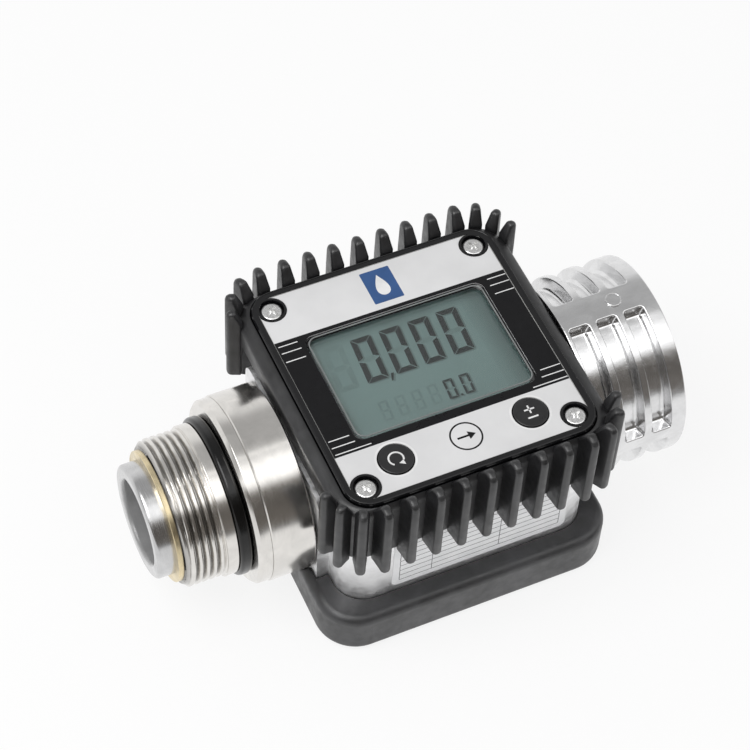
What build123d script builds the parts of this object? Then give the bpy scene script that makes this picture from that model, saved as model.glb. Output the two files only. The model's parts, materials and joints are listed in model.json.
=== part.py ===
from build123d import *
import math
import os

# Digital turbine fuel meter: a cast body with a ribbed female outlet, a swivelling male
# inlet, a finned rubber bumper round the display and a rubber boot under the body.
# X runs along the flow, towards the ribbed outlet. The reader stands on the -Y side, +Z is
# up, and the origin is the middle of the boot's resting face. Sizes are millimetres.

# Height of the flow axis above the resting face
axis_height = 35.5

# Clearances: assembled pieces, turning fits, and rubber or seals near other bodies
fit_gap = 0.2
running_gap = 0.05
soft_gap = 0.3

# Pipe thread at both ends, a 1 1/2 inch parallel thread
thread_major_d = 47.803
thread_pitch = 2.309
thread_length = 13.0
outlet_thread_length = 19.0

# Walls between the thread, the spigot and the flow passage
adapter_wall = 5.4
spigot_wall = 4.85

# Turbine chamber, a little wider than the passage
approach_step = 0.5
chamber_step = 1.85
chamber_wall = 3.0
chamber_start = -20.0
well_depth = 7.0

# Display face: label, cover, window and screws
label_length = 78.5
label_width = 81.2
label_thickness = 0.4
label_corner = 6.0
rim_width = 2.4
rim_rise = 0.3
rim_edge = 0.6
cover_plate = 2.4
cover_cavity = 6.2
cover_corner = 8.5
window_side_band = 9.65
window_end_band = 20.4
window_shift = 1.0
window_corner = 3.0
window_bevel = 0.7
window_lip = 2.0
lens_thickness = 1.6
screw_inset_x = 4.45
screw_inset_y = 4.6
screw_d = 3.0
screw_length = 14.0
screw_head_d = 7.0
screw_head_height = 2.0
screw_head_round = 0.8
screw_sink = 0.5
screw_recess_d = 7.8
screw_ring_wall = 0.7
screw_boss_d = 11.0
cross_depth = 1.2
cross_length = 3.8
cross_width = 0.8
cross_turn = 30.0
gasket_width = 1.8
gasket_height = 1.2
gasket_inset = 1.0

# Cast body under the cover
body_reach = 0.65
cover_overhang = 0.5
body_corner = 10.0
body_edge = 2.0
cavity_wall_x = 6.3
cavity_wall_y = 5.5
pad_thickness = 4.2
pad_inset = 13.5
pad_corner = 5.0
pad_top_drop = 3.0
pad_lift = 0.5
body_post_d = 6.0
body_post_inset = 6.0
body_post_y = 12.0

# Ribbed outlet collar
collar_wall = 9.1
collar_length = 33.0
collar_neck_wall = 8.5
collar_neck_length = 4.3
rib_pitch = 9.6
rib_thickness = 2.5
rib_depth = 4.5
rib_draft = 0.8
rib_count = 3
rib_first_land = 1.45
pocket_round = 1.2
rib_round = 0.5
top_land_angle = 9.0
side_land_angle = 5.0
ejector_mark_d = 5.0
ejector_mark_back = 13.0
ejector_mark_rise = 0.3

# Display module and electronics
glass_overlap_x = 1.9
glass_overlap_y = 2.3
glass_thickness = 2.4
glass_drop = 0.2
holder_wall = 1.2
holder_ledge = 2.0
board_thickness = 1.6
sensor_length = 5.0
sensor_width = 4.0

# Keys with snap domes under them
key_d = 10.8
key_inset_x = 16.85
key_inset_y = 10.4
key_rise = 0.3
key_travel = 0.8
key_flange_d = 12.6
key_flange_thickness = 1.0
key_stem_d = 4.0
dome_d = 8.0
dome_rest = 0.4
dome_thickness = 0.25

# Two small cylindrical cells in pockets beside the chamber
cell_d = 10.5
cell_end_room = 14.25
cell_side_room = 3.25
cell_nub_d = 3.8
cell_nub_length = 1.0
cell_drop = 3.5
contact_thickness = 0.6
contact_width = 9.0

# Finned rubber bumper round the display
bumper_wall_x = 3.5
bumper_wall_y = 2.1
bumper_corner = 10.5
bumper_top_drop = 0.8
bumper_height = 23.7
strip_height = 9.2
curtain_inset = 11.8
curtain_lift = 1.5
bumper_edge = 1.0
fin_count = 9
fin_end_room = 12.2
fin_reach = 6.7
fin_rise = 4.8
fin_foot = 1.0
fin_root = 4.6
fin_tip = 3.0
fin_round = 1.2
fin_tip_round = 1.9
fin_low_chamfer = 1.5
corner_fins = [(68.0, 5.8), (39.0, 4.6), (10.0, 4.0)]

# Rubber boot under the body
boot_height = 17.0
boot_floor = 3.5
boot_wall = 7.1
boot_corner = 13.5
boot_edge = 3.0

# Swivel on the inlet spigot
spigot_seat = 12.0
spigot_flange = 0.8
spigot_flange_wall = 3.5
spigot_tip = 5.6
spigot_lip = 1.4
sleeve_wall = 5.4
sleeve_length = 13.9
sleeve_inner_wall = 4.0
lock_ring_step = 0.4
lock_ring_length = 4.6
lock_ring_bevel = 1.2
groove_depth = 1.2
groove_length = 4.4
shoulder_rise = 0.7
shoulder_length = 3.6
tail_rise = 0.4
o_ring_depth = 3.1
o_ring_round = 1.3
thrust_ring_wall = 2.8
thrust_ring_length = 1.8
wire_d = 2.4
seal_wire_d = 2.0
seal_setbacks = (4.0, 9.0)

# Turbine cartridge
cartridge_wall = 1.6
guide_length = 8.0
rotor_sleeve_length = 22.0
guide_hub_d = 8.8
guide_nose = 6.5
guide_vanes = 4
guide_vane_thickness = 1.4
rotor_hub_d = 8.2
rotor_play = 0.5
rotor_tip_gap = 0.4
rotor_blades = 8
rotor_blade_thickness = 1.0
rotor_twist = 60.0
magnet_length = 2.0
magnet_d = 6.4
axle_d = 2.0
bush_d = 4.4
bush_length = 5.0
bush_end_room = 0.8
circlip_thickness = 1.2
circlip_width = 1.9
circlip_bite = 0.8
circlip_gap_angle = 50.0
circlip_lug_angle = 28.75
circlip_hole_d = 1.5

# Blank rating plate on the front wall
rating_inset = 12.3
rating_height = 23.0
rating_thickness = 0.2
rating_corner = 2.0
rating_x = 3.0
rating_low = 20.0

# Diameters worked out from the walls above
thread_depth = 0.640327 * thread_pitch
thread_minor_d = thread_major_d - 2 * thread_depth
spigot_d = thread_major_d - 2 * adapter_wall
bore_d = spigot_d - 2 * spigot_wall
chamber_d = bore_d + 2 * chamber_step
cartridge_bore_d = chamber_d - 2 * cartridge_wall
rotor_d = cartridge_bore_d - 2 * rotor_tip_gap
collar_d = thread_major_d + 2 * collar_wall
collar_neck_d = chamber_d + 2 * collar_neck_wall
spigot_flange_d = spigot_d + 2 * spigot_flange_wall
thrust_ring_d = spigot_d + 2 * thrust_ring_wall
groove_d = thread_major_d - 2 * groove_depth
shoulder_d = thread_major_d + 2 * shoulder_rise
adapter_tail_d = shoulder_d + 2 * tail_rise
sleeve_d = adapter_tail_d + 2 * sleeve_wall
lock_ring_d = sleeve_d - 2 * lock_ring_step
o_ring_d = groove_d + 2 * o_ring_depth

# Levels worked out from the sizes above
well_floor = axis_height + chamber_d / 2 + chamber_wall
body_top = well_floor + well_depth
plate_low = body_top + cover_cavity
plate_top = plate_low + cover_plate
face_height = plate_top + label_thickness
rim_top = face_height + rim_rise
lens_low = plate_low
glass_top = lens_low - glass_drop
glass_low = glass_top - glass_thickness
board_low = body_top
board_top = board_low + board_thickness
head_top = face_height - screw_sink
head_low = head_top - screw_head_height
bumper_top = face_height - bumper_top_drop
bumper_low = bumper_top - bumper_height - curtain_lift
pad_low = boot_floor + body_edge + pad_lift
dome_height = key_travel + dome_rest
cell_height = well_floor - cell_drop

# Outlines worked out from the sizes above
cover_length = label_length + 2 * rim_width
cover_width = label_width + 2 * rim_width
window_length = label_length - 2 * window_side_band
window_width = label_width - 2 * window_end_band
screw_x = label_length / 2 - screw_inset_x
screw_y = label_width / 2 - screw_inset_y
key_x = label_length / 2 - key_inset_x
key_y = key_inset_y - label_width / 2
glass_length = window_length + 2 * glass_overlap_x
glass_width = window_width + 2 * glass_overlap_y
body_length = cover_length + 2 * body_reach
body_width = cover_width - 2 * cover_overhang
cavity_length = body_length - 2 * cavity_wall_x
cavity_width = body_width - 2 * cavity_wall_y
body_post_x = cavity_length / 2 - body_post_inset
pad_width = body_width - 2 * pad_inset
cell_length = cavity_length - 2 * cell_end_room
cell_y = cavity_width / 2 - cell_side_room - cell_d / 2
bumper_length = body_length + 2 * (fit_gap + bumper_wall_x)
bumper_width = body_width + 2 * (fit_gap + bumper_wall_y)
curtain_return = bumper_width / 2 - curtain_inset
fin_pitch = (bumper_length - 2 * fin_end_room) / (fin_count - 1)
boot_length = body_length + 2 * (fit_gap + boot_wall)
boot_width = body_width + 2 * (fit_gap + boot_wall)
rating_length = body_length - 2 * rating_inset

# Stations along the flow axis
pad_face = -body_length / 2 - pad_thickness
sleeve_back = pad_face - spigot_flange - fit_gap
sleeve_front = sleeve_back - sleeve_length
lock_ring_front = sleeve_front - lock_ring_length
groove_front = lock_ring_front - groove_length
shoulder_front = groove_front - shoulder_length
thread_front = shoulder_front - thread_length
thrust_back = thread_front - running_gap * 2
thrust_front = thrust_back - thrust_ring_length
spigot_front = thrust_front - spigot_tip
spigot_back = pad_face + spigot_seat
collar_start = body_length / 2 + collar_neck_length
outlet_face = collar_start + collar_length
guide_end = chamber_start + guide_length
rotor_sleeve_end = guide_end + rotor_sleeve_length
cartridge_end = rotor_sleeve_end + guide_length
pocket_half = cell_length / 2 + cell_nub_length / 2 + contact_thickness + fit_gap


def block(length, width, corner, low, high):
    # Upright block with rounded vertical corners, between two heights
    return Pos(0, 0, low) * extrude(RectangleRounded(length, width, corner), high - low)


def turned(*profile):
    # Solid turned about the flow axis from (station, radius) corners
    face = make_face(Polyline(*profile, close=True))
    return Pos(0, 0, axis_height) * revolve(Plane.XZ * face, Axis.X)


def flow_tube(start, end, outer_d, inner_d):
    # Plain tube along the flow axis
    return turned((start, inner_d / 2), (start, outer_d / 2), (end, outer_d / 2), (end, inner_d / 2))


def flow_rod(start, end, diameter):
    # Plain round bar along the flow axis
    return turned((start, 0), (start, diameter / 2), (end, diameter / 2), (end, 0))


def flow_ring(station, centre_radius, wire):
    # Ring of round wire about the flow axis
    face = Pos(station, centre_radius) * Circle(wire / 2)
    return Pos(0, 0, axis_height) * revolve(Plane.XZ * face, Axis.X)


def screw_places():
    return [(x, y) for x in (-screw_x, screw_x) for y in (-screw_y, screw_y)]


def upright(x, y, diameter, low, high):
    # Upright round bar or hole
    return Pos(x, y, low) * extrude(Circle(diameter / 2), high - low)


def cavity_outline():
    # Rectangle whose corners give way to the screw bosses
    outline = Rectangle(cavity_length, cavity_width)
    for x, y in screw_places():
        reach = screw_boss_d
        side_x = math.copysign(reach / 2, x)
        side_y = math.copysign(reach / 2, y)
        outline -= Pos(x, y) * Circle(screw_boss_d / 2)
        outline -= Pos(x + side_x, y + side_y) * Rectangle(reach, reach)
    return outline


def gasket_outline():
    # Closed cord round the cavity, just outside it and inside the screws
    inner = offset(cavity_outline(), gasket_inset)
    outer = offset(cavity_outline(), gasket_inset + gasket_width)
    return outer - inner


def from_axis(edge):
    # Distance of an edge's middle from the flow axis
    middle = edge.position_at(0.5)
    return math.hypot(middle.Y, middle.Z)


def rib_pocket(start, end, from_angle, to_angle):
    # Tapered pocket between two ribs of the collar, angles from straight up towards +Y
    floor = collar_d / 2 - rib_depth
    outer = collar_d / 2 + rib_depth
    corners = [(start - rib_draft, outer), (start + rib_draft, floor)]
    corners += [(end - rib_draft, floor), (end + rib_draft, outer)]
    face = Plane.XZ * make_face(Polyline(*corners, close=True))
    pocket = revolve(face, Axis.X, to_angle - from_angle)
    inner_edges = pocket.edges().filter_by(lambda edge: from_axis(edge) < outer - running_gap)
    pocket = fillet(inner_edges, pocket_round)
    return Rot(-to_angle, 0, 0) * pocket


def outlet_collar():
    radius = collar_d / 2
    collar = Pos((collar_start + outlet_face) / 2, 0, 0) * Rot(0, 90, 0) * Cylinder(radius, collar_length)
    first = outlet_face - rib_first_land - rib_count * rib_pitch - rib_thickness
    for index in range(rib_count):
        start = first + index * rib_pitch + rib_thickness / 2
        end = start + rib_pitch - rib_thickness
        for low, high in quadrants():
            collar -= rib_pocket(start, end, low, high)
    rims = collar.edges().filter_by(lambda edge: abs(from_axis(edge) - radius) < running_gap)
    collar = Pos(0, 0, axis_height) * fillet(rims, rib_round)
    mark_x = outlet_face - ejector_mark_back
    crown = axis_height + radius
    collar += upright(mark_x, 0, ejector_mark_d, crown - 1, crown + ejector_mark_rise)
    neck = flow_rod(body_length / 2 - 1, collar_start, collar_neck_d)
    return collar + neck


def quadrants():
    # Four arcs between the lands at the top, the bottom and the parting line
    quarter = (top_land_angle, 90 - side_land_angle)
    arcs = []
    for turn in (0, 180):
        arcs.append((turn + quarter[0], turn + quarter[1]))
        arcs.append((turn + 180 - quarter[1], turn + 180 - quarter[0]))
    return arcs


def cell_pocket(side):
    # Pocket for one cell and its contacts, open into the well above
    width = cell_d + 2 * fit_gap
    low = cell_height - cell_d / 2
    height = body_top - low + 1
    return Pos(0, side * cell_y, low + height / 2) * Box(2 * pocket_half, width, height)


def flow_passage():
    # Everything that is bored through the body along the flow axis
    chamber = chamber_d / 2
    approach = bore_d / 2 + approach_step
    thread_start = outlet_face - outlet_thread_length
    mouth = thread_major_d / 2
    lead = (thread_major_d - thread_minor_d) / 2
    far = outlet_face + 1
    passage = turned(
        (spigot_back - 1, 0), (spigot_back - 1, approach), (chamber_start, approach),
        (chamber_start, chamber), (thread_start, chamber), (thread_start, mouth),
        (outlet_face - lead, mouth), (outlet_face, mouth + lead), (far, mouth + lead), (far, 0),
    )
    passage += flow_rod(pad_face - 1, spigot_back, spigot_d)
    groove_start = cartridge_end
    groove_end = groove_start + circlip_thickness
    passage += flow_rod(groove_start, groove_end, chamber_d + 2 * circlip_bite)
    return passage


def meter_body():
    body = block(body_length, body_width, body_corner, boot_floor, body_top)
    body = fillet(body.edges().group_by(Axis.Z)[0], body_edge)
    pad_high = body_top - pad_top_drop
    pad = Pos(-body_length / 2, 0, (pad_high + pad_low) / 2) * Rot(0, -90, 0) * extrude(
        RectangleRounded(pad_high - pad_low, pad_width, pad_corner), pad_thickness)
    body += pad
    body += outlet_collar()
    body -= Pos(0, 0, well_floor) * extrude(cavity_outline(), body_top - well_floor + 1)
    for side in (-1, 1):
        body -= cell_pocket(side)
        for end in (-1, 1):
            body += upright(end * body_post_x, side * body_post_y, body_post_d, well_floor, board_low)
    body -= Pos(0, 0, body_top - gasket_height) * extrude(gasket_outline(), gasket_height + 1)
    for x, y in screw_places():
        body -= upright(x, y, screw_d + 2 * running_gap, head_low - screw_length - 1, body_top + 1)
    return body - flow_passage()


def face_cover():
    cover = block(cover_length, cover_width, cover_corner, body_top, rim_top)
    cover = fillet(cover.edges().group_by(Axis.Z)[-1], rim_edge)
    recess = RectangleRounded(label_length + 2 * fit_gap, label_width + 2 * fit_gap, label_corner)
    cover -= Pos(0, 0, plate_top) * extrude(recess, rim_top)
    for x, y in screw_places():
        cover += upright(x, y, screw_recess_d + 2 * screw_ring_wall, plate_low, rim_top)
    cover -= Pos(0, 0, body_top - 1) * extrude(cavity_outline(), cover_cavity + 1)
    lens = RectangleRounded(window_length + 2 * window_lip, window_width + 2 * window_lip, window_corner)
    cover -= Pos(0, window_shift, plate_low - 1) * extrude(lens, lens_thickness + 1)
    opening = RectangleRounded(window_length, window_width, window_corner)
    cover -= Pos(0, window_shift, plate_low) * extrude(opening, 2 * cover_plate)
    wide = RectangleRounded(window_length + 2 * window_bevel, window_width + 2 * window_bevel, window_corner)
    cover -= loft([Pos(0, window_shift, plate_top - window_bevel) * opening, Pos(0, window_shift, plate_top) * wide])
    for x in (-key_x, key_x):
        cover -= upright(x, key_y, key_d + 2 * fit_gap, plate_low - 1, rim_top)
    for x, y in screw_places():
        cover -= upright(x, y, screw_recess_d, head_low, rim_top + 1)
        cover -= upright(x, y, screw_d + 2 * fit_gap, body_top - 1, head_low + 1)
    return cover


def face_label():
    label = RectangleRounded(label_length, label_width, label_corner)
    clear = window_bevel + fit_gap
    label -= Pos(0, window_shift) * RectangleRounded(
        window_length + 2 * clear, window_width + 2 * clear, window_corner)
    ring = screw_recess_d / 2 + screw_ring_wall + fit_gap
    for x, y in screw_places():
        corner = Pos(x + math.copysign(ring, x), y + math.copysign(ring, y)) * Rectangle(2 * ring, 2 * ring)
        label -= Pos(x, y) * Circle(ring)
        label -= corner
    for x in (-key_x, key_x):
        label -= Pos(x, key_y) * Circle(key_d / 2 + 2 * fit_gap)
    return Pos(0, 0, plate_top) * extrude(label, label_thickness)


def display_window():
    clear = 2 * (window_lip - running_gap)
    return Pos(0, window_shift, lens_low) * extrude(
        RectangleRounded(window_length + clear, window_width + clear, window_corner), lens_thickness)


def display_glass():
    return Pos(0, window_shift, glass_low) * extrude(Rectangle(glass_length, glass_width), glass_thickness)


def display_holder():
    height = glass_top - board_top
    inner_length = glass_length + 2 * running_gap
    inner_width = glass_width + 2 * running_gap
    outer = RectangleRounded(inner_length + 2 * holder_wall, inner_width + 2 * holder_wall, holder_wall)
    holder = extrude(outer, height)
    holder -= Pos(0, 0, glass_low - board_top) * extrude(Rectangle(inner_length, inner_width), height)
    holder -= extrude(Rectangle(inner_length - 2 * holder_ledge, inner_width - 2 * holder_ledge), height)
    return Pos(0, window_shift, board_top) * holder


def circuit_board():
    outline = offset(cavity_outline(), -fit_gap)
    return Pos(0, 0, board_low) * extrude(outline, board_thickness)


def cover_gasket():
    return Pos(0, 0, body_top - gasket_height) * extrude(gasket_outline(), gasket_height)


def cover_screw(x, y):
    # Pan head with a cross recess
    head = upright(x, y, screw_head_d, head_low, head_top)
    head = fillet(head.edges().group_by(Axis.Z)[-1], screw_head_round)
    for turn in (cross_turn, cross_turn + 90):
        slot = Box(cross_length, cross_width, cross_depth)
        head -= Pos(x, y, head_top - cross_depth / 2) * Rot(0, 0, turn) * slot
    return head + upright(x, y, screw_d, head_low - screw_length, head_low)


def pulse_sensor():
    height = board_low - well_floor
    return Pos(magnet_centre(), 0, well_floor + height / 2) * Box(sensor_length, sensor_width, height)


def key(x):
    # Round key with a hidden flange and a stem over its snap dome
    flange_top = plate_low - fit_gap
    flange_low = flange_top - key_flange_thickness
    cap = upright(x, key_y, key_d, flange_low, face_height + key_rise)
    cap = fillet(cap.edges().group_by(Axis.Z)[-1], key_rise)
    cap += upright(x, key_y, key_flange_d, flange_low, flange_top)
    return cap + upright(x, key_y, key_stem_d, board_top + dome_height + running_gap, flange_low)


def snap_dome(x):
    # Thin spherical cap, standing on the board
    radius = (dome_d ** 2 / 4 + dome_height ** 2) / (2 * dome_height)
    shell = Sphere(radius) - Sphere(radius - dome_thickness)
    cap = Pos(0, 0, dome_height - radius) * shell
    cap &= Pos(0, 0, dome_height / 2) * Box(dome_d, dome_d, dome_height)
    return Pos(x, key_y, board_top) * cap


def cell(side):
    # Cell with its raised terminal, lying along the flow axis
    turn = 0 if side > 0 else 180
    can = Cylinder(cell_d / 2, cell_length, rotation=(0, 90, 0))
    nub = Pos((cell_length + cell_nub_length) / 2, 0, 0) * Cylinder(cell_nub_d / 2, cell_nub_length, rotation=(0, 90, 0))
    shift = Pos(-cell_nub_length / 2, 0, 0)
    return Pos(0, side * cell_y, cell_height) * Rot(0, 0, turn) * shift * (can + nub)


def cell_contacts():
    # Four plates at the ends of the two pockets
    plates = []
    for side in (-1, 1):
        for end in (-1, 1):
            x = end * (pocket_half - contact_thickness / 2)
            plates.append(Pos(x, side * cell_y, cell_height) * Box(contact_thickness, contact_width, contact_width))
    return plates


def fin(reach):
    # Tapered upright fin with a horn that stands above the label, pointing along +X
    tip = face_height + fin_rise
    foot = -fin_foot
    low = bumper_low
    shoulder = tip - fin_tip_round
    inner = reach - 2 * fin_tip_round
    edge = Polyline((inner, shoulder), (foot, bumper_top), (foot, low), (reach - fin_low_chamfer / 2, low),
                    (reach, low + fin_low_chamfer), (reach, shoulder))
    crest = ThreePointArc((reach, shoulder), (reach - fin_tip_round, tip), (inner, shoulder))
    side = extrude(Plane.XZ * make_face(edge + crest), fin_root, both=True)
    plan = make_face(Polyline((foot, -fin_root / 2), (reach, -fin_tip / 2), (reach, fin_tip / 2),
                              (foot, fin_root / 2), close=True))
    plan = fillet(plan.vertices().group_by(Axis.X)[-1], fin_round)
    half = fin_root / 2
    crown = fin_tip / 2
    flanks = Polyline((-crown, tip - crown), (-half, bumper_top), (-half, low), (half, low),
                      (half, bumper_top), (crown, tip - crown))
    dome = ThreePointArc((crown, tip - crown), (0, tip), (-crown, tip - crown))
    front = extrude(Plane.YZ * make_face(flanks + dome), 2 * reach, both=True)
    return side & front & Pos(0, 0, low) * extrude(plan, tip - low)


def bumper_fins():
    fins = []
    middle = (fin_count - 1) / 2
    for index in range(fin_count):
        x = (index - middle) * fin_pitch
        for side in (-1, 1):
            fins.append(Pos(x, side * bumper_width / 2, 0) * Rot(0, 0, side * 90) * fin(fin_reach))
    centre_x = bumper_length / 2 - bumper_corner
    centre_y = bumper_width / 2 - bumper_corner
    for angle, reach in corner_fins:
        corner = Pos(centre_x, centre_y, 0) * Rot(0, 0, angle) * Pos(bumper_corner, 0, 0) * fin(reach)
        flipped = corner.mirror(Plane.YZ)
        fins += [corner, flipped, corner.mirror(Plane.XZ), flipped.mirror(Plane.XZ)]
    return fins


def bumper_frame():
    strip_low = bumper_top - strip_height
    curtain_low = bumper_low + curtain_lift
    frame = block(bumper_length, bumper_width, bumper_corner, curtain_low, bumper_top)
    top_edges = frame.edges().group_by(Axis.Z)[-1]
    frame = chamfer(top_edges, bumper_edge)
    lower = 2 * fit_gap
    frame -= block(body_length + lower, body_width + lower, body_corner, curtain_low - 1, body_top)
    frame -= block(cover_length + lower, cover_width + lower, cover_corner, body_top, bumper_top + 1)
    window = Box(2 * bumper_length, 2 * curtain_return, strip_low - curtain_low + 1)
    frame -= Pos(0, 0, (strip_low + curtain_low - 1) / 2) * window
    for item in bumper_fins():
        frame += item
    return frame


def base_boot():
    boot = block(boot_length, boot_width, boot_corner, 0, boot_height)
    boot = fillet(boot.edges().group_by(Axis.Z)[0] + boot.edges().group_by(Axis.Z)[-1], boot_edge)
    gap = 2 * fit_gap
    boot -= block(body_length + gap, body_width + gap, body_corner, boot_floor, boot_height + 1)
    pad_back = pad_face - soft_gap
    notch_length = -body_length / 2 - pad_back + 1
    notch = Box(notch_length, pad_width + 2 * soft_gap, 2 * boot_height)
    notch_low = pad_low - soft_gap
    boot -= Pos(pad_back + notch_length / 2, 0, notch_low + boot_height) * notch
    clear = 2 * soft_gap + 1
    boot -= flow_rod(-boot_length, pad_back, sleeve_d + clear)
    boot -= flow_rod(body_length / 2 - 1, collar_start, collar_neck_d + clear)
    boot -= flow_rod(collar_start - soft_gap, boot_length, collar_d + clear)
    return boot


def rating_plate():
    plate = extrude(RectangleRounded(rating_length, rating_height, rating_corner), rating_thickness)
    return Pos(rating_x, -body_width / 2, rating_low + rating_height / 2) * Rot(90, 0, 0) * plate


def inlet_spigot():
    # Tube seated in the body, with a small flange against the pad and grooves for its rings
    outer = spigot_d / 2
    inner = bore_d / 2
    flange = pad_face - spigot_flange
    tube = turned(
        (spigot_back, inner), (spigot_back, outer - running_gap), (pad_face, outer - running_gap),
        (pad_face, spigot_flange_d / 2), (flange, spigot_flange_d / 2), (flange, outer),
        (spigot_front, outer), (spigot_front, inner),
    )
    mouth = tube.edges().group_by(Axis.X)[0]
    tube = fillet(mouth, spigot_lip)
    wire_reach = wire_d + fit_gap
    tube -= flow_tube(wire_station() - wire_reach / 2, wire_station() + wire_reach / 2,
                      spigot_d + 1, spigot_d - wire_d)
    for station in seal_stations():
        half = seal_wire_d / 2 + running_gap
        tube -= flow_tube(station - half, station + half, spigot_d + 1, 2 * (seal_radius() - half))
    return tube


def wire_station():
    # The retaining wire sits in the middle of the swivel sleeve
    return sleeve_front + sleeve_length / 2


def thread_adapter():
    # Male threaded end with a groove for its sealing ring and a tail inside the sleeve
    inner = spigot_d / 2 + running_gap
    tail_end = sleeve_back - sleeve_inner_wall - fit_gap
    lead = (thread_major_d - thread_minor_d) / 2
    major = thread_major_d / 2
    bevel = lock_ring_bevel
    adapter = turned(
        (thread_front, inner), (thread_front, major - lead), (thread_front + lead, major),
        (shoulder_front, major), (shoulder_front, shoulder_d / 2), (groove_front, shoulder_d / 2),
        (groove_front, groove_d / 2), (lock_ring_front, groove_d / 2),
        (lock_ring_front, lock_ring_d / 2 - bevel), (lock_ring_front + bevel, lock_ring_d / 2),
        (sleeve_front, lock_ring_d / 2), (sleeve_front, adapter_tail_d / 2),
        (tail_end, adapter_tail_d / 2), (tail_end, inner),
    )
    half = wire_d / 2 + soft_gap
    return adapter - flow_tube(wire_station() - half, wire_station() + half, spigot_d + 2 * half, spigot_d - 1)


def swivel_sleeve():
    # Outer collar over the adapter's tail
    outer = sleeve_d / 2
    tail = adapter_tail_d / 2 + running_gap
    wall = sleeve_back - sleeve_inner_wall
    inner = spigot_d / 2 + running_gap
    sleeve = turned(
        (sleeve_front, tail), (sleeve_front, outer), (sleeve_back, outer), (sleeve_back, inner),
        (wall, inner), (wall, tail),
    )
    rims = sleeve.edges().filter_by(GeomType.CIRCLE).filter_by(lambda edge: edge.radius > outer - 0.1)
    return chamfer(rims, fit_gap * 2)


def thread_o_ring():
    # Flat-sided rubber ring in the groove behind the thread
    width = groove_length - 2 * fit_gap
    depth = (o_ring_d - groove_d) / 2
    ring = fillet(Rectangle(width, depth).vertices(), o_ring_round)
    place = Pos(groove_front + groove_length / 2, groove_d / 2 + depth / 2)
    return Pos(0, 0, axis_height) * revolve(Plane.XZ * (place * ring), Axis.X)


def thrust_ring():
    ring = flow_tube(thrust_front, thrust_back, thrust_ring_d, spigot_d)
    rims = ring.edges().filter_by(GeomType.CIRCLE).filter_by(lambda edge: edge.radius > spigot_d / 2 + 0.1)
    return chamfer(rims, fit_gap)


def retaining_wire():
    return flow_ring(wire_station(), spigot_d / 2, wire_d)


def seal_stations():
    return [thread_front + setback for setback in seal_setbacks]


def seal_radius():
    # The seals stay clear of the turning adapter
    return spigot_d / 2 + running_gap - soft_gap - seal_wire_d / 2


def spigot_seals():
    return [flow_ring(station, seal_radius(), seal_wire_d) for station in seal_stations()]


def flow_guide():
    # Ring, vanes and hub with a rounded nose; the rotor side is at X = 0, the nose at +X
    outer = chamber_d / 2 - running_gap
    inner = cartridge_bore_d / 2
    hub = guide_hub_d / 2
    bush = bush_d / 2
    outline = Polyline((0, bush), (0, hub), (guide_length, hub))
    nose = EllipticalCenterArc((guide_length, 0), guide_nose, hub, start_angle=0, arc_size=90)
    seat = bush_length + bush_end_room
    back = Polyline((guide_length + guide_nose, 0), (seat, 0), (seat, bush), (0, bush))
    guide = revolve(Plane.XZ * make_face(outline + nose + back), Axis.X)
    for index in range(guide_vanes):
        span = inner - hub + 1
        vane = Pos(guide_length / 2, 0, hub - 0.5 + span / 2) * Box(guide_length, guide_vane_thickness, span)
        guide += Rot(360 / guide_vanes * index + 45, 0, 0) * vane
    ring = make_face(Polyline((0, inner), (0, outer), (guide_length, outer), (guide_length, inner), close=True))
    return guide + revolve(Plane.XZ * ring, Axis.X)


def inlet_flow_guide():
    return Pos(guide_end, 0, axis_height) * flow_guide().mirror(Plane.YZ)


def outlet_flow_guide():
    return Pos(rotor_sleeve_end, 0, axis_height) * flow_guide()


def rotor_sleeve():
    return flow_tube(guide_end, rotor_sleeve_end, chamber_d - 2 * running_gap, cartridge_bore_d)


def rotor_start():
    return guide_end + rotor_play


def rotor_end():
    return rotor_sleeve_end - rotor_play - magnet_length


def magnet_centre():
    return rotor_end() + magnet_length / 2


def turbine_rotor():
    # Hub with twisted blades
    section = Circle(rotor_hub_d / 2)
    for index in range(rotor_blades):
        turn = 360 / rotor_blades * index
        section += Rot(0, 0, turn) * Pos(rotor_d / 4, 0) * Rectangle(rotor_d / 2, rotor_blade_thickness)
    section &= Circle(rotor_d / 2)
    length = rotor_end() - rotor_start()
    plane = Plane((rotor_start(), 0, axis_height), x_dir=(0, 1, 0), z_dir=(1, 0, 0))
    face = (plane * section).faces()[0]
    rotor = Solid.extrude_linear_with_rotation(face, plane.origin, plane.z_dir * length, rotor_twist)
    return Part(rotor.wrapped) - flow_rod(rotor_start() - 1, rotor_end() + 1, axle_d)


def rotor_axle():
    reach = bush_length - rotor_play / 2
    return flow_rod(guide_end - reach, rotor_sleeve_end + reach, axle_d)


def rotor_magnet():
    return flow_tube(rotor_end(), rotor_end() + magnet_length, magnet_d, axle_d)


def axle_bush(start):
    return flow_tube(start, start + bush_length, bush_d, axle_d + 2 * running_gap)


def guide_circlip():
    # Open spring ring with two lugs, seated in the chamber's groove
    outer = chamber_d / 2 + circlip_bite - running_gap
    ring = Circle(outer) - Circle(outer - circlip_width)
    half = math.radians(circlip_gap_angle / 2)
    reach = outer * 2
    gap = Polyline((0, 0), (reach * math.sin(half), -reach * math.cos(half)),
                   (-reach * math.sin(half), -reach * math.cos(half)), close=True)
    ring -= make_face(gap)
    lug_r = outer - circlip_width
    lug = math.radians(circlip_lug_angle)
    for side in (-1, 1):
        place = Pos(side * lug_r * math.sin(lug), -lug_r * math.cos(lug))
        ring += place * Circle(circlip_width)
        ring -= place * Circle(circlip_hole_d / 2)
    ring &= Circle(outer)
    plane = Plane((cartridge_end, 0, axis_height), x_dir=(0, 1, 0), z_dir=(1, 0, 0))
    return extrude(plane * ring, circlip_thickness - running_gap)


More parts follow.
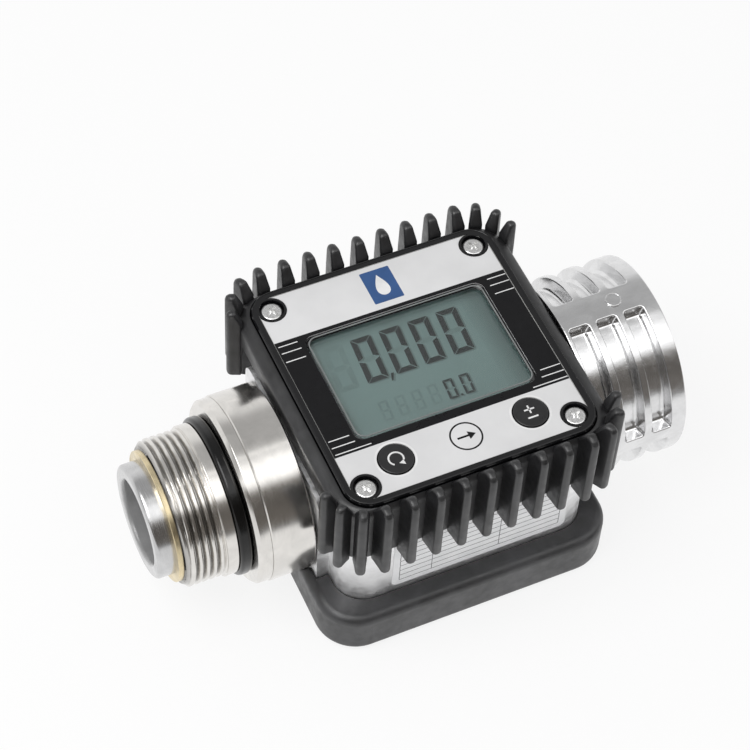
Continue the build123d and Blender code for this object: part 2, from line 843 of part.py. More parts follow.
def write_parts():
    parts = {
        "meter_body": meter_body(),
        "inlet_spigot": inlet_spigot(),
        "face_cover": face_cover(),
        "face_label": face_label(),
        "display_window": display_window(),
        "display_glass": display_glass(),
        "display_holder": display_holder(),
        "circuit_board": circuit_board(),
        "cover_gasket": cover_gasket(),
        "cover_screws": Compound([cover_screw(x, y) for x, y in screw_places()]),
        "pulse_sensor": pulse_sensor(),
        "reset_key": key(-key_x),
        "calibration_key": key(key_x),
        "reset_snap_dome": snap_dome(-key_x),
        "calibration_snap_dome": snap_dome(key_x),
        "front_cell": cell(-1),
        "rear_cell": cell(1),
        "cell_contacts": Compound(cell_contacts()),
        "bumper_frame": bumper_frame(),
        "base_boot": base_boot(),
        "rating_plate": rating_plate(),
        "inlet_flow_guide": inlet_flow_guide(),
        "outlet_flow_guide": outlet_flow_guide(),
        "rotor_sleeve": rotor_sleeve(),
        "turbine_rotor": turbine_rotor(),
        "rotor_axle": rotor_axle(),
        "rotor_magnet": rotor_magnet(),
        "inlet_axle_bush": axle_bush(guide_end - bush_length),
        "outlet_axle_bush": axle_bush(rotor_sleeve_end),
        "guide_circlip": guide_circlip(),
        "thread_adapter": thread_adapter(),
        "swivel_sleeve": swivel_sleeve(),
        "thread_o_ring": thread_o_ring(),
        "thrust_ring": thrust_ring(),
        "retaining_wire": retaining_wire(),
        "spigot_seals": Compound(spigot_seals()),
    }
    os.makedirs("parts", exist_ok=True)
    for name, shape in parts.items():
        export_step(shape, os.path.join("parts", name + ".step"))


write_parts()
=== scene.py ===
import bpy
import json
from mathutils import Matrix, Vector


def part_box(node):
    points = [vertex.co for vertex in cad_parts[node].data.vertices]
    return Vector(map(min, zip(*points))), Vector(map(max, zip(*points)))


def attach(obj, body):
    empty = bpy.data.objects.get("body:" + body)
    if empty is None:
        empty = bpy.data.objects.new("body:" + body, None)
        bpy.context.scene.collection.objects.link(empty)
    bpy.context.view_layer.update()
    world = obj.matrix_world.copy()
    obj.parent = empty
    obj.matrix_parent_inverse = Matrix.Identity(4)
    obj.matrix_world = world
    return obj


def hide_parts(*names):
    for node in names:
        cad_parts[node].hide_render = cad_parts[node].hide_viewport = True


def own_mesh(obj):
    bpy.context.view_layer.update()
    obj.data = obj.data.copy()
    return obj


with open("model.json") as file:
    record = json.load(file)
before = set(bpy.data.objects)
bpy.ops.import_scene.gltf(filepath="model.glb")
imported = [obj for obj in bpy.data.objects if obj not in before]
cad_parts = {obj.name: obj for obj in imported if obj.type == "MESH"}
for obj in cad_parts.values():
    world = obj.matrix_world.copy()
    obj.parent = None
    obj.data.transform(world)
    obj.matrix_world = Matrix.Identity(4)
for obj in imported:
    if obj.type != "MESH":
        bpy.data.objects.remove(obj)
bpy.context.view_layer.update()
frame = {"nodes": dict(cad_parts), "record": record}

import json
import math

import bmesh
import bpy
import numpy as np
from mathutils import Matrix

bl_info = {
    "name": "Digital Fuel Meter",
    "version": (1, 0, 0),
    "blender": (4, 5, 0),
    "location": "View3D > Sidebar > Fuel Meter",
    "description": "Dresses the packed fuel meter with threads, printing, display segments and finishes",
    "category": "Object",
}

MM = 0.001
AXIS_HEIGHT = 35.5 * MM
LABEL_LEVEL = 70 * MM
LABEL_CORNER = 6.0 * MM
QUARTER_POINTS = 9
MERGE_DISTANCE = 1e-7
SLOT_OF = {row["node"]: row["material_slot"] for row in frame["record"]["subparts"]}


def node_box(node):
    """Lowest and highest corner of a CAD node as two numpy arrays."""
    low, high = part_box(node)
    return np.array(low), np.array(high)


# Sizes and colours

class FuelMeterSizes(bpy.types.PropertyGroup):
    """Sizes that the dressing pieces share"""
    thread_pitch: bpy.props.FloatProperty(
        name="Thread Pitch", description="Distance from crest to crest of both pipe threads",
        default=2.309 * MM, unit="LENGTH", precision=5)
    thread_depth: bpy.props.FloatProperty(
        name="Thread Depth", description="Height of a thread ridge from root to crest",
        default=1.479 * MM, unit="LENGTH", precision=5)
    print_height: bpy.props.FloatProperty(
        name="Print Height", description="Thickness of one printed layer on the label",
        default=0.02 * MM, unit="LENGTH", precision=6)
    digit_height: bpy.props.FloatProperty(
        name="Digit Height", description="Height of the large display digits",
        default=17.4 * MM, unit="LENGTH", precision=5)
    small_digit_height: bpy.props.FloatProperty(
        name="Small Digit Height", description="Height of the small display digits",
        default=7.5 * MM, unit="LENGTH", precision=5)
    digit_slant: bpy.props.FloatProperty(
        name="Digit Slant", description="Lean of the display digits to the right",
        default=math.radians(4.2), subtype="ANGLE")


class FuelMeterColours(bpy.types.PropertyGroup):
    """Main colours of the finishes"""
    rubber: bpy.props.FloatVectorProperty(
        name="Rubber", description="Moulded rubber of the bumper and the boot",
        default=(0.0135, 0.0135, 0.0145), subtype="COLOR", min=0, max=1)
    label: bpy.props.FloatVectorProperty(
        name="Label", description="Silver grey ground of the face label",
        default=(0.725, 0.725, 0.73), subtype="COLOR", min=0, max=1)
    band: bpy.props.FloatVectorProperty(
        name="Band", description="Black band printed round the window",
        default=(0.004, 0.004, 0.005), subtype="COLOR", min=0, max=1)
    print_white: bpy.props.FloatVectorProperty(
        name="White Print", description="Printed lines and symbols",
        default=(0.80, 0.80, 0.80), subtype="COLOR", min=0, max=1)
    badge: bpy.props.FloatVectorProperty(
        name="Badge", description="Plain badge with a drop above the window",
        default=(0.03, 0.09, 0.25), subtype="COLOR", min=0, max=1)
    display: bpy.props.FloatVectorProperty(
        name="Display", description="Ground of the liquid crystal display",
        default=(0.106, 0.160, 0.153), subtype="COLOR", min=0, max=1)
    segment: bpy.props.FloatVectorProperty(
        name="Segment", description="Dark display segments",
        default=(0.004, 0.007, 0.007), subtype="COLOR", min=0, max=1)
    aluminium: bpy.props.FloatVectorProperty(
        name="Aluminium", description="Cast and turned aluminium",
        default=(0.90, 0.90, 0.905), subtype="COLOR", min=0, max=1)
    nickel: bpy.props.FloatVectorProperty(
        name="Nickel", description="Turned nickel plated steel of the swivel",
        default=(0.74, 0.72, 0.69), subtype="COLOR", min=0, max=1)
    brass: bpy.props.FloatVectorProperty(
        name="Brass", description="Thrust ring in front of the thread",
        default=(0.74, 0.63, 0.41), subtype="COLOR", min=0, max=1)


class FuelMeterStudio(bpy.types.PropertyGroup):
    """Camera and lamps"""
    azimuth: bpy.props.FloatProperty(
        name="Azimuth", description="Turn of the view about the upright axis",
        default=math.radians(-27.24), subtype="ANGLE")
    elevation: bpy.props.FloatProperty(
        name="Elevation", description="Height of the view above the horizon",
        default=math.radians(53.06), subtype="ANGLE")
    roll: bpy.props.FloatProperty(
        name="Roll", description="Tilt of the picture",
        default=math.radians(3.85), subtype="ANGLE")
    offset: bpy.props.FloatVectorProperty(
        name="Offset", description="Camera's place from the label: right, up and back",
        default=(-14.33 * MM, -4.13 * MM, 753.72 * MM), unit="LENGTH")
    lens: bpy.props.FloatProperty(
        name="Lens", description="Focal length on a 36 mm sensor", default=117.92, unit="CAMERA")
    sky: bpy.props.FloatProperty(
        name="Sky", description="Strength of the surrounding light", default=0.62, min=0)
    key: bpy.props.FloatProperty(
        name="Key Lamp", description="Power of the large lamp above", default=3.4, min=0)
    fill: bpy.props.FloatProperty(
        name="Fill Lamp", description="Power of the lamp on the reader's side", default=0.6, min=0)


# Closed surfaces on grids

def volume_of(points, faces):
    """Signed volume: the sum over triangles of a . (b x c) / 6, faces split at their first corner."""
    first = points[faces[:, 0]]
    total = 0.0
    for corner in range(1, faces.shape[1] - 1):
        area = np.cross(points[faces[:, corner]], points[faces[:, corner + 1]])
        total += np.einsum("ij,ij->", first, area) / 6
    return total


def mesh_from(name, points, faces, smooth=True):
    """Puts point and face arrays into a new mesh object; faces is a list of index arrays."""
    sizes = np.concatenate([np.full(len(block), block.shape[1]) for block in faces])
    corners = np.concatenate([block.ravel() for block in faces])
    starts = np.concatenate(([0], np.cumsum(sizes)[:-1]))
    mesh = bpy.data.meshes.new(name)
    mesh.vertices.add(len(points))
    mesh.vertices.foreach_set("co", np.ascontiguousarray(points, dtype=np.float32).ravel())
    mesh.loops.add(len(corners))
    mesh.loops.foreach_set("vertex_index", corners.astype(np.int32))
    mesh.polygons.add(len(sizes))
    mesh.polygons.foreach_set("loop_start", starts.astype(np.int32))
    mesh.polygons.foreach_set("use_smooth", np.full(len(sizes), smooth))
    mesh.update(calc_edges=True)
    mesh.validate()
    piece = bpy.data.objects.new(name, mesh)
    bpy.context.scene.collection.objects.link(piece)
    return piece


def grid_faces(rows, columns, wrap_rows):
    """Quads of a grid that closes along its columns: each joins (i, j), (i+1, j), (i+1, j+1), (i, j+1)."""
    i = np.arange(rows if wrap_rows else rows - 1)[:, None]
    j = np.arange(columns)[None, :]
    here, below = i * columns, (i + 1) % rows * columns
    right = (j + 1) % columns
    return np.stack((here + j, below + j, below + right, here + right), axis=-1).reshape(-1, 4)


def shells(name, grids):
    """One object from closed grids (rows, columns, 3) that wrap in columns and, where their last row
    isn't a pole, in rows. A pole is a row whose points are all one; they are merged."""
    points, faces, base = [], [], 0
    for grid, wrap_rows in grids:
        flat = grid.reshape(-1, 3)
        block = grid_faces(*grid.shape[:2], wrap_rows)
        if volume_of(flat, block) < 0:
            block = block[:, ::-1]
        points.append(flat)
        faces.append(block + base)
        base += len(flat)
    piece = mesh_from(name, np.concatenate(points), faces)
    work = bmesh.new()
    work.from_mesh(piece.data)
    bmesh.ops.remove_doubles(work, verts=work.verts, dist=MERGE_DISTANCE)
    bmesh.ops.dissolve_degenerate(work, edges=work.edges, dist=MERGE_DISTANCE)
    work.to_mesh(piece.data)
    work.free()
    return piece


def shade_by_angle(piece, degrees=32):
    """Smooth shading with sharp edges kept where faces meet at more than the angle."""
    piece.data.polygons.foreach_set("use_smooth", np.ones(len(piece.data.polygons), dtype=bool))
    piece.data.set_sharp_from_angle(angle=math.radians(degrees))


def turned(name, profile, axis_height, segments=192, ridge=None):
    """Closed profile of (station, radius) carried round the flow axis: the point at angle a is
    (x, r sin a, axis_height + r cos a). ridge(x, a) is added to the radius where it is given."""
    angles = np.linspace(0, 2 * math.pi, segments, endpoint=False)
    station = np.repeat(profile[:, :1], segments, axis=1)
    radius = np.repeat(profile[:, 1:], segments, axis=1)
    if ridge is not None:
        radius = radius + ridge(station, angles[None, :])
    grid = np.stack((station, radius * np.sin(angles), axis_height + radius * np.cos(angles)), axis=-1)
    piece = shells(name, [(grid, True)])
    shade_by_angle(piece)
    return piece


def rounded_corner(before, corner, after, radius, count=5, inset=0.0):
    """Points on the circle of that radius that touches both sides of a profile's corner, or on a
    smaller circle about the same centre."""
    before, corner, after = (np.asarray(point, dtype=float) for point in (before, corner, after))
    first = (before - corner) / np.linalg.norm(before - corner)
    last = (after - corner) / np.linalg.norm(after - corner)
    half = math.acos(np.clip(first @ last, -1, 1)) / 2
    reach = radius / math.tan(half)
    centre = corner + (first + last) / np.linalg.norm(first + last) * radius / math.sin(half)
    start = corner + first * reach - centre
    stop = corner + last * reach - centre
    turn = math.atan2(start[0] * stop[1] - start[1] * stop[0], start @ stop)
    angles = np.linspace(0, turn, count)[:, None]
    side = np.array([-start[1], start[0]])
    return centre + (start * np.cos(angles) + side * np.sin(angles)) * (radius - inset) / radius


def eased_profile(corners, radii, count=5, inset=0.0):
    """Closed profile with each corner replaced by its arc."""
    before = [corners[-1], *corners[:-1]]
    after = [*corners[1:], corners[0]]
    return np.concatenate([rounded_corner(*places, radius, count, inset)
                           for *places, radius in zip(before, corners, after, radii)])


def divided(outline, parts):
    """Closed outline with each of its sides cut into equal parts."""
    steps = np.arange(parts)[None, :, None] / parts
    following = np.roll(outline, -1, axis=0)
    return (outline[:, None] * (1 - steps) + following[:, None] * steps).reshape(-1, 2)


def rounded_ring(half_length, half_width, radius, run):
    """Rounded rectangle: four straight sides divided at the fractions in run, from -1 to 1, each
    followed by a quarter circle, all turned by quarter turns from the +X side."""
    arc = np.linspace(0, math.pi / 2, QUARTER_POINTS + 2)[1:-1]
    sides = []
    for turn, (across, along) in enumerate([(half_length, half_width), (half_width, half_length)] * 2):
        x = np.concatenate((np.full(len(run), across), across - radius + radius * np.cos(arc)))
        y = np.concatenate((run * (along - radius), along - radius + radius * np.sin(arc)))
        cosine, sine = [(1, 0), (0, 1), (-1, 0), (0, -1)][turn]
        sides.append(np.column_stack((cosine * x - sine * y, sine * x + cosine * y)))
    return np.concatenate(sides)


def bead(name, half_length, half_width, corner, centre, level, radius):
    """Round bead along a rounded rectangle: at angle a of its section the rectangle grows by
    r cos a and rises by r sin a."""
    run = np.linspace(-1, 1, 25)
    rows = []
    for turn in np.linspace(0, 2 * math.pi, 12, endpoint=False):
        out = radius * math.cos(turn)
        ring = rounded_ring(half_length + out, half_width + out, corner + out, run) + np.asarray(centre)
        rows.append(np.column_stack((ring, np.full(len(ring), level + radius * math.sin(turn)))))
    return shells(name, [(np.array(rows), True)])


def thread_wave(station, turn, pitch):
    """Depth of a helical thread, 0 on the crest and 1 in the root: a smooth step of the distance
    |2 w - 1| with w the fraction of station / pitch - angle / turn."""
    crest_share, flank_share = 0.3, 0.6
    place = np.mod(station / pitch - turn / (2 * math.pi), 1.0)
    flank = np.clip((np.abs(2 * place - 1) - crest_share) / flank_share, 0, 1)
    return flank * flank * (3 - 2 * flank)


def fade(station, start, stop, rise, fall):
    """1 between start and stop, down to 0 at both over the lengths rise and fall."""
    return np.clip((station - start) / rise, 0, 1) * np.clip((stop - station) / fall, 0, 1)


# Flat shapes

def rounded_outline(length, width, radius, centre=(0, 0), count=8):
    """Rounded rectangle: four quarter circles of count + 1 points, anticlockwise."""
    quarter = np.linspace(0, math.pi / 2, count + 1)
    angles = np.concatenate([quarter + turn * math.pi / 2 for turn in range(4)])
    sign_x = np.repeat([1, -1, -1, 1], count + 1)
    sign_y = np.repeat([1, 1, -1, -1], count + 1)
    x = centre[0] + sign_x * (length / 2 - radius) + radius * np.cos(angles)
    y = centre[1] + sign_y * (width / 2 - radius) + radius * np.sin(angles)
    return np.stack((x, y), axis=-1)


def circle_outline(radius, centre, count=96):
    """Circle of count points, anticlockwise."""
    angles = np.linspace(0, 2 * math.pi, count, endpoint=False)
    return np.stack((centre[0] + radius * np.cos(angles), centre[1] + radius * np.sin(angles)), axis=-1)


def arc_band(radius, width, start, stop, centre, count=40):
    """Outline of a flat arc: out along the outer circle and back along the inner one."""
    angles = np.linspace(start, stop, count)
    unit = np.stack((np.cos(angles), np.sin(angles)), axis=-1)
    outer = unit * (radius + width / 2)
    inner = (unit * (radius - width / 2))[::-1]
    return np.concatenate((outer, inner)) + np.asarray(centre)


def drop_outline(height, centre, count=56):
    """Drop: y is half the height times cos t, and x is the width times sin t times the power 1.3 of
    sin(t / 2), which draws the top up to a tip."""
    turn = np.linspace(0, 2 * math.pi, count, endpoint=False)
    x = 0.36 * height * np.sin(turn) * np.sin(turn / 2) ** 1.3
    y = height / 2 * np.cos(turn)
    return np.stack((centre[0] + x, centre[1] + y), axis=-1)[::-1]


def plates(name, outlines, low, high):
    """Flat plates between two heights: for each outline a top, a bottom and its upright sides."""
    points, faces, base = [], [], 0
    for outline in outlines:
        count = len(outline)
        points += [np.column_stack((outline, np.full(count, level))) for level in (low, high)]
        ring = np.arange(count)
        following = (ring + 1) % count
        sides = np.stack((ring, following, following + count, ring + count), axis=-1)
        faces += [(ring[::-1] + base)[None, :], (ring + count + base)[None, :], sides + base]
        base += 2 * count
    return mesh_from(name, np.concatenate(points), faces, smooth=False)


def framed_plate(name, outer, inner, low, high):
    """Flat plate with a hole; outer and inner outlines have the same number of points."""
    rows = [np.column_stack((outline, np.full(len(outline), level)))
            for outline, level in ((outer, low), (outer, high), (inner, high), (inner, low))]
    faces = grid_faces(4, len(outer), True)[:, ::-1]
    return mesh_from(name, np.concatenate(rows), [faces], smooth=False)


# Material nodes

def feed(tree, socket, value):
    """Links an output to the input socket, or sets the input to a plain value."""
    if isinstance(value, bpy.types.NodeSocket):
        tree.links.new(value, socket)
    else:
        socket.default_value = value


def add(tree, kind, options=None, **inputs):
    """New node of that kind with its options and its inputs, whose words have _ for a space."""
    node = tree.nodes.new("ShaderNode" + kind)
    for option, value in (options or {}).items():
        setattr(node, option, value)
    for words, value in inputs.items():
        feed(tree, node.inputs[words.replace("_", " ")], value)
    return node


def calculate(tree, operation, first, second):
    """Result of one sum or function of two values, each a number or an output."""
    node = add(tree, "Math", {"operation": operation})
    feed(tree, node.inputs[0], first)
    feed(tree, node.inputs[1], second)
    return node.outputs["Value"]


def span(tree, value, start, stop, low, high, steps="LINEAR"):
    """Value from low to high as the given one goes from start to stop."""
    node = add(tree, "MapRange", {"interpolation_type": steps}, Value=value, From_Min=start,
               From_Max=stop, To_Min=low, To_Max=high)
    return node.outputs["Result"]


def mix_shaders(tree, factor, first, second):
    """The first shader where the factor is 0, the second where it is 1."""
    node = add(tree, "MixShader", Fac=factor)
    tree.links.new(first, node.inputs[1])
    tree.links.new(second, node.inputs[2])
    return node.outputs["Shader"]


def object_place(tree):
    """The point's place on the piece."""
    return add(tree, "TexCoord").outputs["Object"]


def shader_input(material, name):
    """An input of the material's main shader."""
    return material.node_tree.nodes["Principled BSDF"].inputs[name]


def finish(name, colour, roughness, metallic=0.0, **sockets):
    """New node material; extra words name shader sockets, with _ for a space."""
    material = bpy.data.materials.new(name)
    material.use_nodes = True
    values = {"Base_Color": (*colour, 1), "Roughness": roughness, "Metallic": metallic, **sockets}
    for words, value in values.items():
        shader_input(material, words.replace("_", " ")).default_value = value
    return material


def grain(material, size, stretch=(1, 1, 1), detail=3.0, distortion=0.0):
    """Noise on Object coordinates whose features are about that size."""
    tree = material.node_tree
    place = add(tree, "Mapping", Vector=object_place(tree), Scale=stretch).outputs["Vector"]
    noise = add(tree, "TexNoise", Vector=place, Scale=1 / size, Detail=detail, Distortion=distortion)
    return noise.outputs["Fac"]


def tint(material, factor, dark, light, low=0.35, high=0.65):
    """Base colour from dark to light as the factor goes from low to high."""
    ramp = add(material.node_tree, "ValToRGB", Fac=factor)
    for element, position, colour in zip(ramp.color_ramp.elements, (low, high), (dark, light)):
        element.position = position
        element.color = (*colour, 1)
    material.node_tree.links.new(ramp.outputs["Color"], shader_input(material, "Base Color"))


def gloss(material, factor, low, high):
    """Roughness from low to high over the middle of the factor's range."""
    tree, start, stop = material.node_tree, 0.3, 0.7
    tree.links.new(span(tree, factor, start, stop, low, high), shader_input(material, "Roughness"))


def relief(material, factor, height, strength=1.0):
    """Bump of that height; several calls add up."""
    tree = material.node_tree
    normal = shader_input(material, "Normal")
    bump = add(tree, "Bump", Distance=height, Strength=strength, Height=factor)
    if normal.links:
        tree.links.new(normal.links[0].from_socket, bump.inputs["Normal"])
    tree.links.new(bump.outputs["Normal"], normal)


def by_radius(material, inner, outer, low, high):
    """Value from low to high as the distance from the flow axis goes from inner to outer."""
    tree = material.node_tree
    place = add(tree, "Mapping", Vector=object_place(tree), Scale=(0, 1, 1), Location=(0, 0, -AXIS_HEIGHT))
    away = add(tree, "VectorMath", {"operation": "LENGTH"}, Vector=place.outputs["Vector"])
    return span(tree, away.outputs["Value"], inner, outer, low, high)


def along(material, axis, start, stop, low, high, steps="LINEAR"):
    """Value from low to high as the place on that axis goes from start to stop."""
    tree = material.node_tree
    split = add(tree, "SeparateXYZ", Vector=object_place(tree))
    return span(tree, split.outputs[axis], start, stop, low, high, steps)


def darken(material, factor):
    """Multiplies the base colour by the factor."""
    tree = material.node_tree
    base = shader_input(material, "Base Color")
    options = {"data_type": "RGBA", "blend_type": "MULTIPLY"}
    blend = add(tree, "Mix", options, Factor=1.0, A=base.links[0].from_socket, B=factor)
    tree.links.new(blend.outputs["Result"], base)


def shade(colour, factor):
    """A colour made darker or lighter."""
    return tuple(min(1.0, channel * factor) for channel in colour)


def coat(piece, material):
    """Puts the material in the piece's slots, or in a new slot."""
    if not piece.material_slots:
        piece.data.materials.append(material)
    for row in piece.material_slots:
        row.material = material


def coat_nodes(slot, material):
    """Gives the material to every CAD node whose record names that slot."""
    found = [node for node, name in SLOT_OF.items() if name == slot]
    if not found:
        raise RuntimeError(f"no CAD node takes its finish from {slot}")
    for node in found:
        coat(frame["nodes"][node], material)


def settle(piece, body, slot, material, *nodes):
    """Material, body and replaced nodes of one new piece. The slot is not used."""
    coat(piece, material)
    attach(piece, body)
    if nodes:
        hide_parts(*nodes)


# Finishes

def rubber_finish(name, colour, roughness, dust=1.0, specular=0.72):
    """Satin moulded rubber: fine moulding grain, faint bloom, uneven gloss."""
    material = finish(name, colour, roughness, Specular_IOR_Level=specular)
    bloom = grain(material, 9 * MM, detail=6, distortion=0.4)
    tint(material, bloom, shade(colour, 0.75), shade(colour, 1.0 + 0.7 * dust), 0.35, 0.75)
    gloss(material, grain(material, 3 * MM, detail=5), roughness - 0.07, roughness + 0.1)
    relief(material, grain(material, 0.22 * MM, detail=2), 0.02 * MM, 0.5)
    relief(material, grain(material, 2.2 * MM, detail=2), 0.05 * MM, 0.6)
    return material


def plastic_finish(name, colour, roughness, height=0.008, specular=0.5):
    """Moulded plastic or ink: light grain of that height in millimetres, a slight change of tone."""
    material = finish(name, colour, roughness, Specular_IOR_Level=specular)
    tint(material, grain(material, 6 * MM, detail=4), shade(colour, 0.88), shade(colour, 1.08), 0.3, 0.7)
    gloss(material, grain(material, 2.5 * MM, detail=4), roughness * 0.85, roughness * 1.2)
    relief(material, grain(material, 0.35 * MM, detail=2), height * MM, 0.5)
    return material


def turned_finish(name, colour, roughness, stain=0.07):
    """Turned metal: rings round the flow axis, soft stains."""
    material = finish(name, colour, roughness, metallic=1.0)
    stains = grain(material, 8 * MM, detail=6, distortion=0.8)
    tint(material, stains, shade(colour, 1 - stain), shade(colour, 1 + stain), 0.32, 0.68)
    rings = grain(material, 0.09 * MM, stretch=(1, 0.012, 0.012), detail=3)
    gloss(material, rings, roughness * 0.7, roughness * 1.35)
    relief(material, rings, 0.003 * MM, 0.5)
    relief(material, grain(material, 5 * MM, detail=3), 0.012 * MM, 0.35)
    return material


def faced_finish(name, colour, roughness):
    """Face cut on a lathe: fine rings of gloss and relief, set by the distance from the flow axis."""
    material = finish(name, colour, roughness, metallic=1.0)
    away = by_radius(material, 0, 1, 0, 1)
    noise = add(material.node_tree, "TexNoise", {"noise_dimensions": "1D"}, Scale=1 / (0.35 * MM), W=away)
    rings = noise.outputs["Fac"]
    tint(material, grain(material, 8 * MM, detail=4), shade(colour, 0.95), shade(colour, 1.04))
    gloss(material, rings, roughness * 0.75, roughness * 1.35)
    relief(material, rings, 0.006 * MM, 0.5)
    return material


def cast_finish(name, colour, satin, polished):
    """Die casting: satin body whose gloss rises along X towards the polished collar, cloudy tone, soft
    waves and small pits."""
    material = finish(name, colour, satin, metallic=1.0)
    tree = material.node_tree
    collar_start, collar_stop = 43 * MM, 47 * MM
    clouds = grain(material, 5 * MM, stretch=(0.6, 1, 1), detail=6, distortion=0.5)
    tint(material, clouds, shade(colour, 0.93), shade(colour, 1.04), 0.36, 0.62)
    darken(material, along(material, "X", collar_start, collar_stop, 1.0, 0.84))
    gloss(material, grain(material, 1.6 * MM, stretch=(0.6, 1, 1), detail=5), 0.8, 1.25)
    rough = shader_input(material, "Roughness")
    polish = along(material, "X", collar_start, collar_stop, satin, polished)
    tree.links.new(calculate(tree, "MULTIPLY", rough.links[0].from_socket, polish), rough)
    relief(material, grain(material, 5 * MM, detail=2, distortion=0.3), 0.05 * MM, 0.28)
    relief(material, grain(material, 0.6 * MM, detail=4), 0.012 * MM, 0.5)
    return material


# Pieces

class FUELMETER_OT_stage(bpy.types.Operator):
    """Floor, surrounding light, lamps and camera"""
    bl_idname = "fuelmeter.stage"
    bl_label = "Stage"

    def execute(self, context):
        scene = context.scene
        studio = scene.fuel_meter_studio
        self.make_camera(scene, studio)
        self.make_floor()
        self.make_sky(scene, studio.sky)
        self.make_lamp(scene, "key_lamp", place=(-0.45, -0.05, 0.80), target=(0.0, 0.0, 0.05), size=0.55,
                       watts=studio.key)
        fill = self.make_lamp(scene, "fill_lamp", place=(0.35, -0.75, 0.55), target=(0.0, 0.0, 0.04),
                              size=0.5, watts=studio.fill)
        fill.visible_glossy = False
        scene.view_settings.view_transform = "Standard"
        return {"FINISHED"}

    def stand(self, scene, name, data, axes, place):
        """New camera or lamp at a place; its right, up and back directions are the columns of axes."""
        thing = bpy.data.objects.new(name, data)
        thing.matrix_world = Matrix([[*axes[row], place[row]] for row in range(3)] + [[0, 0, 0, 1]])
        scene.collection.objects.link(thing)
        return thing

    def make_camera(self, scene, studio):
        """Camera axes from azimuth, elevation and roll; its place is the label's middle plus the offset."""
        a, e, r = studio.azimuth, studio.elevation, studio.roll
        back = np.array([math.sin(a) * math.cos(e), -math.cos(a) * math.cos(e), math.sin(e)])
        level = np.array([math.cos(a), math.sin(a), 0.0])
        rise = np.cross(back, level)
        right = math.cos(r) * level + math.sin(r) * rise
        up = -math.sin(r) * level + math.cos(r) * rise
        axes = np.stack((right, up, back), axis=1)
        place = axes @ np.array(studio.offset) + np.array([0, 0, LABEL_LEVEL])
        data = bpy.data.cameras.new("camera")
        data.sensor_width = 36
        data.lens = studio.lens
        data.clip_start = 0.02
        scene.camera = self.stand(scene, "camera", data, axes, place)

    def make_lamp(self, scene, name, place, target, size, watts):
        """Square area lamp that faces its target."""
        data = bpy.data.lights.new(name, "AREA")
        data.shape = "SQUARE"
        data.size = size
        data.energy = watts
        back = np.array(place) - np.array(target)
        back = back / np.linalg.norm(back)
        level = np.cross([0, 0, 1], back)
        level = level / np.linalg.norm(level)
        axes = np.stack((level, np.cross(back, level), back), axis=1)
        return self.stand(scene, name, data, axes, place)

    def make_floor(self):
        """Round floor: rings of points out to 6 m, flat at the resting level."""
        angles = np.linspace(0, 2 * math.pi, 64, endpoint=False)
        radii = np.array([0.001, 0.3, 1.0, 6.0])[:, None]
        x, y = radii * np.cos(angles), radii * np.sin(angles)
        grid = np.stack((x, y, np.zeros_like(x)), axis=-1)
        cap = np.arange(len(angles))[None, :]
        faces = [grid_faces(len(radii), len(angles), False), cap]
        floor = mesh_from("floor", grid.reshape(-1, 3), faces, smooth=False)
        paper, dark, light = (0.93, 0.93, 0.93), (0.925, 0.925, 0.925), (0.935, 0.935, 0.935)
        material = finish("floor_paper", paper, 0.9, Specular_IOR_Level=0.1)
        tint(material, grain(material, 0.2, detail=2), dark, light)
        self.whiten(material)
        coat(floor, material)

    def whiten(self, material):
        """Camera and transmission rays see the floor mostly plain white. Glossy rays see white near
        the object and a dark room beyond the paper's edge on the reader's side."""
        tree = material.node_tree
        ray = add(tree, "LightPath").outputs
        fade_start, fade_stop, room_tone, paper_tone, camera_share = -0.60, -0.35, 0.2, 0.98, 0.84
        room = along(material, "Y", fade_start, fade_stop, room_tone, paper_tone)
        white = add(tree, "Emission").outputs["Emission"]
        mirrored = add(tree, "Emission", Color=room).outputs["Emission"]
        last = tree.nodes["Principled BSDF"].outputs["BSDF"]
        for name, share, light in (("Is Camera Ray", camera_share, white),
                                   ("Is Transmission Ray", camera_share, white),
                                   ("Is Glossy Ray", 1.0, mirrored)):
            last = mix_shaders(tree, calculate(tree, "MULTIPLY", ray[name], share), last, light)
        tree.links.new(last, tree.nodes["Material Output"].inputs["Surface"])

    def make_sky(self, scene, strength):
        """Even light on the object; the camera sees a pale background, and glossy rays see a band of
        tones by the angle atan2(z, -y), from the reader's horizon over the top to the far one."""
        world = bpy.data.worlds.new("studio")
        world.use_nodes = True
        tree = world.node_tree
        tree.nodes.clear()
        ray = add(tree, "LightPath").outputs
        side = add(tree, "SeparateXYZ", Vector=add(tree, "TexCoord").outputs["Generated"]).outputs
        lift = calculate(tree, "ARCTAN2", side["Z"], calculate(tree, "MULTIPLY", side["Y"], -1.0))
        ramp = add(tree, "ValToRGB", Fac=calculate(tree, "DIVIDE", lift, math.pi))
        self.set_ramp(ramp.color_ramp)
        white, mirror_strength = (1, 1, 1, 1), 1.7
        even, mirrored, pale = (
            add(tree, "Background", Color=colour, Strength=bright).outputs["Background"]
            for colour, bright in ((white, strength), (ramp.outputs["Color"], mirror_strength), (white, 1.0)))
        seen = mix_shaders(tree, ray["Is Glossy Ray"], even, mirrored)
        seen = mix_shaders(tree, ray["Is Camera Ray"], seen, pale)
        add(tree, "OutputWorld", Surface=seen)
        scene.world = world

